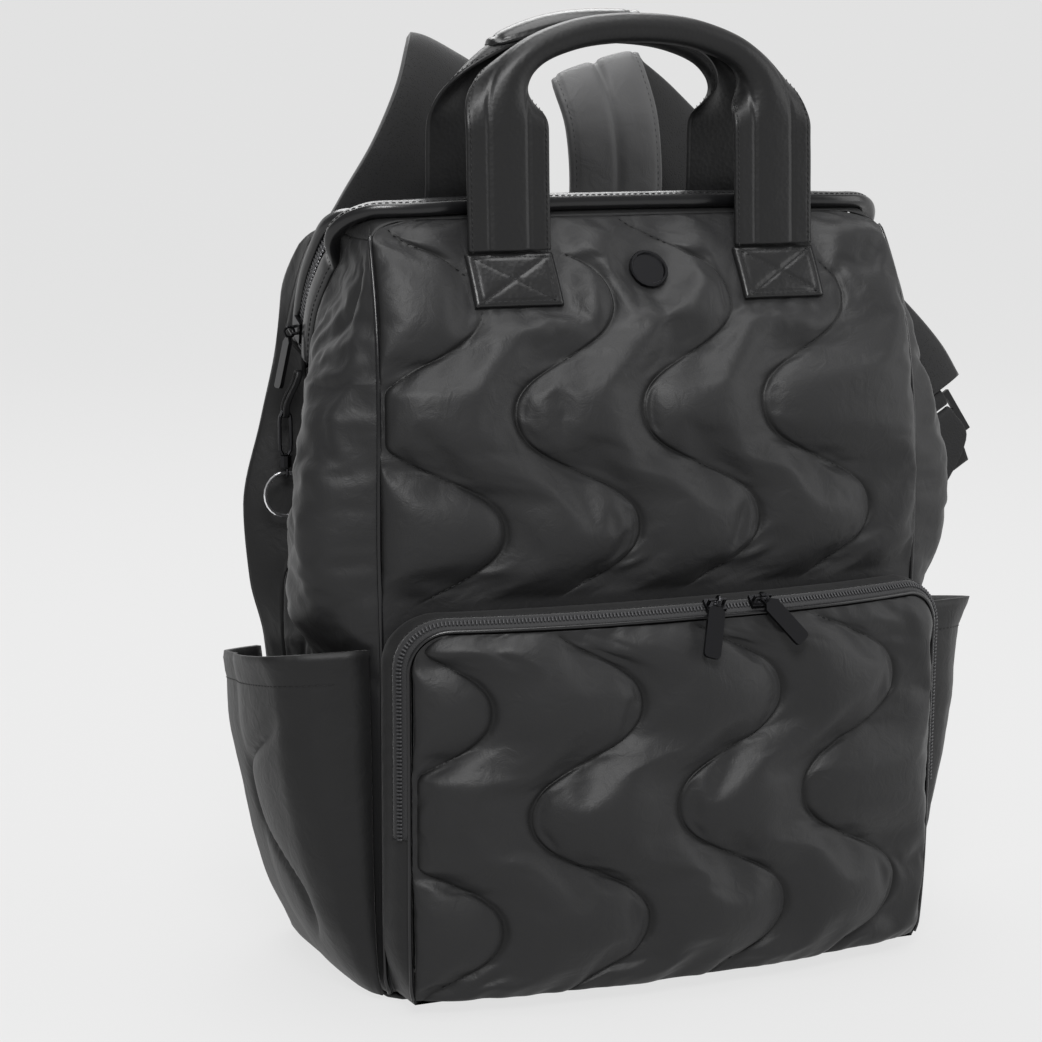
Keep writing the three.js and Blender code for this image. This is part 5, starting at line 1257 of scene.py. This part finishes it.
def shoulder_strap(side, sign):
    route = np.array(STRAPS[side], float)
    rear = float(Body(STRAP_FOOT).rear)
    places = np.column_stack([route[:, 0], rear + route[:, 1], STRAP_FOOT + route[:, 2]])
    steps = 200
    at, width, out = strip_frames(places, unit(route[:, 3:]), steps)
    a = np.linspace(-1, 1, 37)
    half = STRAP_WIDTH / 2
    rise = STRAP_THICK / 2
    face = strap_face(np.abs(a)) - 0.16 * np.exp(-(((np.abs(a) - 0.9) / 0.03) ** 2))
    lining = -0.3 - 0.6 * (1 - np.abs(a) ** 4)
    along = np.concatenate([[0], np.cumsum(np.linalg.norm(np.diff(at, axis=0), axis=1))])
    soft = 0.35 * ripple(points(along[:, None], a[None, :] * half, 60 * sign), 20, 61)
    wide = at[:, None] + width[:, None] * (a * half)[None, :, None]
    outer = wide + out[:, None] * (face[None, :] * rise + soft * (1 - np.abs(a) ** 4))[..., None]
    inner = wide + out[:, None] * (lining[None, :] * rise - 0.5 * soft * (1 - np.abs(a) ** 4))[..., None]
    verts, faces = wall_between(outer, inner)
    material_of = np.zeros(len(faces), int)
    count = (len(at) - 1) * (len(a) - 1)
    material_of[count : 2 * count] = 1
    strap = make_mesh(f"{side}_strap_pad", verts, faces, STRAP)
    strap.data.materials.append(LINING)
    strap.data.polygons.foreach_set("material_index", material_of)
    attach(strap, BAG)
    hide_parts(f"{side}_shoulder_strap")

    end_at = at[-1]
    down = tangents(at)[-1]
    end_out = out[-1]
    end_across = -np.cross(down, end_out)
    end_across = end_across * np.sign(end_across @ width[-1])
    local = lambda a, d, o: end_at + end_across * a + down * d + end_out * o
    top = LOCK_DROP - LOCK_SLOT - LOCK_BAR
    over = [(-8, 1.1), (-1, 1.1), (top - 2, LAYER_LIFT), (top + 1, LAYER_LIFT), (top + 3.6, 1.8)]
    loop = [*over, (top + 4.4, 0), *[(d, -o) for d, o in over[::-1]]]
    loop_places = [local(0, d, o) for d, o in loop]
    verts, faces = flat_strip(loop_places, [end_across] * len(loop), WEBBING_WIDTH / 2, WEBBING_THICK, 50)
    ring = plain_piece(f"{side}_strap_end_loop", verts, faces, WEBBING, ())
    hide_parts(f"{side}_shoulder_strap")

    hang = [
        (34, 12), (14, LAYER_LIFT + 2), (0, LAYER_LIFT), (-3.4, 2.1), (-4.6, 0), (-3.4, -2.1),
        (0, -LAYER_LIFT), (16, -LAYER_LIFT),
    ]
    anchor = sign * (HALF - 18)
    seat_y = lambda z: float(back_point(on_back(anchor, z), z)[1]) + 2 * SEAT + WEBBING_THICK / 2
    lay = unit(back_point(on_back(anchor + 5, 30), 30) - back_point(on_back(anchor - 5, 30), 30))
    last = local(0, LOCK_DROP + 16, -LAYER_LIFT)
    low = [
        (mix(last[0], anchor, 0.4), last[1] - 4, mix(last[2], 60, 0.45)),
        (mix(last[0], anchor, 0.85), seat_y(90) + 4, mix(last[2], 60, 0.85)),
        (anchor, seat_y(42) + 1, 42), (anchor, seat_y(28) + 0.2, 28), (anchor, seat_y(16), 16),
    ]
    places = [local(0, LOCK_DROP + d, o) for d, o in hang] + [np.array(p) for p in low]
    across = [end_across] * len(hang) + [lay] * len(low)
    verts, faces = flat_strip(places, across, WEBBING_WIDTH / 2, WEBBING_THICK, 160)
    plain_piece(f"{side}_strap_webbing", verts, faces, WEBBING, [f"{side}_webbing"])
    lift = 4 * SEAT + WEBBING_THICK + 0.6
    anchor_size = (anchor, WEBBING_WIDTH / 2 + 4, 12, 32, lift, 2)
    node = f"{side}_strap_anchor"
    stitches = patch(f"{side}_anchor_leather", node, back_point, 1, on_back, *anchor_size, cross=False)
    keep = slice(3, -3)
    for c in (-0.9, 0.9, 0.09, -0.09):
        h = strap_face(abs(c)) - 0.16
        if abs(c) > 0.5:
            stitches.append(((at + width * (c * half) + out * (h * rise + 0.15))[keep], out[keep]))
    return stitches


def leash():
    top = ZIP_FOOT - 13
    y = float(Body(ZIP_FOOT).zip) + 1.6
    surface = lambda z: float(side_point(-1, side_share(y, z), z)[0])
    link_x = surface(top) - 11
    half, tall, strand = 2.3, 12, 1.7
    rows = {}
    for grow in (0.6, -0.6):
        ring = []
        for a in np.linspace(0, 2 * math.pi, 40, endpoint=False):
            straight = tall - half
            x = (half + grow) * math.cos(a)
            z = top - tall + (half + grow) * math.sin(a) + straight * math.tanh(3 * math.sin(a))
            shift = mix(link_x, surface(top) - 2 * strand, float(fade(z, top - 20, top)))
            ring.append([(shift + s * strand, y + x, z) for s in (1, 0.5, 0, -0.5, -1)])
        rows[grow] = np.array(ring)
    verts, faces = wall_between(rows[0.6], rows[-0.6], ring=True)
    plain_piece("leash_leather", verts, faces, LEATHER, ["leash_loop"])


# Stitches and zip teeth, repeated along a path by one node tree
def path_tree():
    tree = bpy.data.node_groups.new("repeat_along_path", "GeometryNodeTree")
    face = tree.interface
    face.new_socket("Geometry", in_out="INPUT", socket_type="NodeSocketGeometry")
    for label, kind, default in (
        ("Shape", "NodeSocketObject", None),
        ("Spacing", "NodeSocketFloat", 0.004),
        ("Size", "NodeSocketVector", (1, 1, 1)),
        ("Wobble", "NodeSocketFloat", 0.05),
        ("Finish", "NodeSocketMaterial", None),
    ):
        socket = face.new_socket(label, in_out="INPUT", socket_type=kind)
        if default is not None:
            socket.default_value = default
    face.new_socket("Geometry", in_out="OUTPUT", socket_type="NodeSocketGeometry")
    add = tree.nodes.new
    link = tree.links.new
    given = add("NodeGroupInput").outputs
    curve = add("GeometryNodeMeshToCurve")
    even = add("GeometryNodeResampleCurve")
    shape = add("GeometryNodeObjectInfo")
    way = add("GeometryNodeInputNamedAttribute")
    way.data_type = "FLOAT_VECTOR"
    way.inputs["Name"].default_value = "out"
    stand = add("FunctionNodeAlignRotationToVector")
    stand.axis = "Z"
    turn = add("FunctionNodeAlignRotationToVector")
    turn.axis = "X"
    turn.pivot_axis = "Z"
    tangent = add("GeometryNodeInputTangent")
    chance = add("FunctionNodeRandomValue")
    chance.data_type = "FLOAT"
    chance.inputs["Seed"].default_value = 7
    tip = add("ShaderNodeCombineXYZ")
    sway = add("FunctionNodeRotateRotation")
    sway.rotation_space = "LOCAL"
    euler = add("FunctionNodeEulerToRotation")
    low = add("ShaderNodeMath")
    low.operation = "MULTIPLY"
    low.inputs[1].default_value = -1
    spread = add("GeometryNodeInstanceOnPoints")
    solid = add("GeometryNodeRealizeInstances")
    coat = add("GeometryNodeSetMaterial")
    out = add("NodeGroupOutput")
    link(given["Geometry"], curve.inputs["Mesh"])
    link(curve.outputs["Curve"], even.inputs["Curve"])
    if "Mode" in even.inputs:
        even.inputs["Mode"].default_value = "Length"
    else:
        even.mode = "LENGTH"
    link(given["Spacing"], even.inputs["Length"])
    link(given["Shape"], shape.inputs["Object"])
    link(way.outputs["Attribute"], stand.inputs["Vector"])
    link(stand.outputs["Rotation"], turn.inputs["Rotation"])
    link(tangent.outputs["Tangent"], turn.inputs["Vector"])
    link(given["Wobble"], low.inputs[0])
    chance_in = [s for s in chance.inputs if s.enabled and s.type == "VALUE"]
    link(low.outputs["Value"], chance_in[0])
    link(given["Wobble"], chance_in[1])
    link([s for s in chance.outputs if s.enabled][0], tip.inputs["Z"])
    link(tip.outputs["Vector"], euler.inputs["Euler"])
    link(turn.outputs["Rotation"], sway.inputs["Rotation"])
    link(euler.outputs["Rotation"], sway.inputs["Rotate By"])
    link(even.outputs["Curve"], spread.inputs["Points"])
    link(shape.outputs["Geometry"], spread.inputs["Instance"])
    link(sway.outputs["Rotation"], spread.inputs["Rotation"])
    link(given["Size"], spread.inputs["Scale"])
    link(spread.outputs["Instances"], solid.inputs["Geometry"])
    link(solid.outputs["Geometry"], coat.inputs["Geometry"])
    link(given["Finish"], coat.inputs["Material"])
    link(coat.outputs["Geometry"], out.inputs["Geometry"])
    return tree


def repeat_along(name, lines, shape, spacing, size, finish_with, wobble=0.05):
    """One plain mesh of a shape repeated along lines of (places, ways out)."""
    verts, outs, edges = [], [], []
    for places, ways in lines:
        start = sum(len(v) for v in verts)
        verts.append(np.asarray(places) * MM)
        outs.append(unit(ways))
        edges += [(start + k, start + k + 1) for k in range(len(places) - 1)]
    mesh = bpy.data.meshes.new(name + "_path")
    mesh.from_pydata(np.vstack(verts).tolist(), edges, [])
    way = mesh.attributes.new("out", "FLOAT_VECTOR", "POINT")
    way.data.foreach_set("vector", np.vstack(outs).ravel())
    carrier = bpy.data.objects.new(name + "_path", mesh)
    bpy.context.scene.collection.objects.link(carrier)
    step = carrier.modifiers.new("repeat", "NODES")
    step.node_group = PATH_TREE
    values = {"Shape": shape, "Spacing": spacing * MM, "Size": size, "Wobble": wobble, "Finish": finish_with}
    for item in PATH_TREE.interface.items_tree:
        if item.in_out == "INPUT" and item.name in values:
            step[item.identifier] = values[item.name]
    graph = bpy.context.evaluated_depsgraph_get()
    graph.update()
    plain = bpy.data.meshes.new_from_object(carrier.evaluated_get(graph))
    plain.name = name
    bpy.data.objects.remove(carrier)
    piece = bpy.data.objects.new(name, plain)
    bpy.context.scene.collection.objects.link(piece)
    if not plain.materials:
        plain.materials.append(finish_with)
    plain.polygons.foreach_set("use_smooth", [True] * len(plain.polygons))
    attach(piece, BAG)
    return piece


TOOTH_SECTIONS = [
    (-0.5, 0.5, 0.5), (-0.46, 0.9, 0.9), (-0.16, 1.0, 1.0), (0, 0.7, 0.92),
    (0.16, 1.0, 1.0), (0.46, 0.9, 0.9), (0.5, 0.5, 0.5),
]
TOOTH_OUTLINE = [(0.5, 0), (0.5, 0.7), (0.3, 1), (-0.3, 1), (-0.5, 0.7), (-0.5, 0)]


def stitch_shape():
    """A thread's visible length, lying along x, in units of its own size."""
    rows = []
    for x, r in ((-0.5, 0.3), (-0.38, 0.8), (-0.15, 1.0), (0.15, 1.0), (0.38, 0.8), (0.5, 0.3)):
        drop = -0.35 * (abs(x) * 2) ** 2
        turn = np.linspace(0, 2 * math.pi, 6, endpoint=False)
        rows.append(np.stack([np.full(6, x), 0.5 * r * np.cos(turn), 0.5 * r * np.sin(turn) + drop], -1))
    verts, faces = tube_through(np.array(rows) / MM)
    return shape_holder("stitch_shape", verts, faces)


def tooth_shape():
    """A moulded tooth across the tape: wide head, narrow waist and rounded top."""
    rows = []
    for y, w, h in TOOTH_SECTIONS:
        rows.append(np.array([(x * w, y, z * h) for x, z in TOOTH_OUTLINE]))
    verts, faces = tube_through(np.array(rows) / MM)
    return shape_holder("tooth_shape", verts, faces)


def shape_holder(name, verts, faces):
    holder = make_mesh(name, verts, faces, THREAD)
    holder.hide_render = True
    return holder


# Building order
PATH_TREE = path_tree()
STITCH = stitch_shape()
TOOTH = tooth_shape()
MOUTH = mouth_frames(340)

upper_seams = front_puffer()
pocket_seams = pocket_puffer()
zip_line, zip_out, zip_edges = pocket_wall()
rims = {side_name: side_panels(sign, side_name, MOUTH) for sign, side_name in ((-1, "left"), (1, "right"))}
mouth_lips(MOUTH, rims)
seam_piping()
back_cloth()
base_cloth()
hems = [side_pocket(sign, side_name) for sign, side_name in ((-1, "left"), (1, "right"))]
binding_seam = mouth_trim(MOUTH)
front_grip, back_grip, pad_seam = handles()

trim_lines = list(front_grip[1]) + list(back_grip[1]) + [pad_seam]
for sign, side_name in ((-1, "left"), (1, "right")):
    half = HANDLE_STRAP / 2 + 1
    low = PATCH_TOP - PATCH_HEIGHT
    front_size = (sign * HANDLE_X, half, low, PATCH_TOP, 2 * SEAT, PATCH_THICK)
    back_size = (sign * HANDLE_X, half, PANEL_TOP - 9, PANEL_TOP - 3.6, SEAT, PATCH_THICK)
    front_name, back_name = f"front_patch_{side_name}", f"back_patch_{side_name}"
    trim_lines += patch(f"{front_name}_leather", front_name, front_point, -1, on_front, *front_size)
    trim_lines += patch(f"{back_name}_leather", back_name, back_point, 1, on_back, *back_size, cross=False)
strap_lines = shoulder_strap("left", -1) + shoulder_strap("right", 1)
leash()


def quilt_lines(seams):
    """The quilting's seams, a little proud of the cloth, with their way out."""
    proud = np.array([0, -0.25, 0])
    return [(line + proud, np.tile([0, -1.0, 0], (len(line), 1))) for line in seams if len(line) > 3]


LONG_STITCH = (2.6 * MM, 0.55 * MM, 0.5 * MM)
STRAP_STITCH = (2.5 * MM, 0.5 * MM, 0.45 * MM)
SHORT_STITCH = (2.2 * MM, 0.5 * MM, 0.45 * MM)
POCKET_TOOTH = (1.1 * MM, 3.0 * MM, 1.0 * MM)
MOUTH_TOOTH = (1.5 * MM, 5.8 * MM, 1.9 * MM)
mouth_line = [(MOUTH[0] + MOUTH[2] * 0.5, MOUTH[2])]
strap_lines += hems + [binding_seam]
zip_stitches = [(edge, zip_out) for edge in zip_edges]
repeat_along("quilting_stitches", quilt_lines(upper_seams + pocket_seams), STITCH, 3.6, LONG_STITCH, THREAD)
repeat_along("trim_stitches", trim_lines, STITCH, 3.0, SHORT_STITCH, THREAD)
repeat_along("strap_stitches", strap_lines, STITCH, 3.4, STRAP_STITCH, THREAD)
repeat_along("pocket_zip_stitches", zip_stitches, STITCH, 3.0, SHORT_STITCH, THREAD)
repeat_along("pocket_zip_teeth", [(zip_line, zip_out)], TOOTH, 1.9, POCKET_TOOTH, COIL, 0.0)
repeat_along("mouth_zip_teeth", mouth_line, TOOTH, 2.6, MOUTH_TOOTH, TEETH, 0.0)
for shape in (STITCH, TOOTH):
    bpy.data.objects.remove(shape)

# Metal and plastic pieces kept from the frame
DARK_METAL = [
    "front_pocket_slider_left", "front_pocket_slider_right", "front_pocket_pull_left",
    "front_pocket_pull_right", "main_zip_slider", "main_zip_pull", "badge", "snap_hook",
]
KEPT = [(GUNMETAL, DARK_METAL), (STEEL, ["key_ring"]), (PLASTIC, ["left_ladder_lock", "right_ladder_lock"])]
for material, nodes in KEPT:
    for node in nodes:
        for held_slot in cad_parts[node].material_slots:
            held_slot.material = material


# Studio: pale sweep, soft light from above and in front, camera at the photo's place
CAMERA_AZIMUTH = math.radians(-25.7)
TARGET = np.array([-0.0422, 0, 0.2296])
CAMERA_DISTANCE = 1.541
CAMERA_HEIGHT = 0.467
FOCAL_SHARE = 2910 / 1042


def sweep():
    view = np.array([math.sin(-CAMERA_AZIMUTH), math.cos(CAMERA_AZIMUTH)])
    across = np.array([view[1], -view[0]])
    line = [(-7.0, 0.0), (2.6, 0.0)]
    line += [(2.6 + 1.6 * math.sin(a), 1.6 - 1.6 * math.cos(a)) for a in np.linspace(0, math.pi / 2, 17)[1:]]
    line += [(4.2, 6.0)]
    verts = []
    for along, z in line:
        for side in (8.0, -8.0):
            x, y = view * along + across * side
            verts.append((x / MM, y / MM, z / MM - 0.05))
    faces = [(2 * k, 2 * k + 1, 2 * k + 3, 2 * k + 2) for k in range(len(line) - 1)]
    paper, shader = finish("pale_paper", (0.05, 0.05, 0.05), 1.0)
    shader.inputs["Emission Color"].default_value = (0.8, 0.8, 0.8, 1)
    shader.inputs["Emission Strength"].default_value = 0.9
    make_mesh("sweep", verts, [f[::-1] for f in faces], paper)


def area_light(name, place, aim, size, power):
    from mathutils import Vector

    light = bpy.data.lights.new(name, "AREA")
    light.shape = "RECTANGLE"
    light.size, light.size_y = size
    light.energy = power
    lamp = bpy.data.objects.new(name, light)
    lamp.location = place
    lamp.rotation_euler = (Vector(aim) - Vector(place)).to_track_quat("-Z", "Y").to_euler()
    bpy.context.scene.collection.objects.link(lamp)


def hang_lights(centre):
    area_light("key", (-0.9, -2.1, 2.1), centre, (1.0, 1.0), 76)
    area_light("top", (0.1, -0.2, 2.3), centre, (1.5, 1.5), 34)
    area_light("fill", (2.0, -1.0, 0.9), centre, (1.2, 1.8), 16)
    area_light("rim", (0.3, 1.5, 1.9), centre, (1.6, 1.0), 30)


def studio():
    from mathutils import Vector

    sweep()
    world = bpy.data.worlds.new("studio")
    world.use_nodes = True
    world.node_tree.nodes["Background"].inputs["Color"].default_value = (0.9, 0.9, 0.9, 1)
    world.node_tree.nodes["Background"].inputs["Strength"].default_value = 0.34
    bpy.context.scene.world = world
    hang_lights((0, 0, 0.22))
    across = CAMERA_DISTANCE * math.sin(CAMERA_AZIMUTH)
    place = (across, -CAMERA_DISTANCE * math.cos(CAMERA_AZIMUTH), CAMERA_HEIGHT)
    camera_data = bpy.data.cameras.new("camera")
    camera_data.sensor_width = 36
    camera_data.lens = 36 * FOCAL_SHARE
    camera_data.clip_end = 50
    camera = bpy.data.objects.new("camera", camera_data)
    camera.location = place
    camera.rotation_euler = (Vector(TARGET) - Vector(place)).to_track_quat("-Z", "Y").to_euler()
    bpy.context.scene.collection.objects.link(camera)
    bpy.context.scene.camera = camera
    bpy.context.scene.view_settings.view_transform = "Standard"


studio()
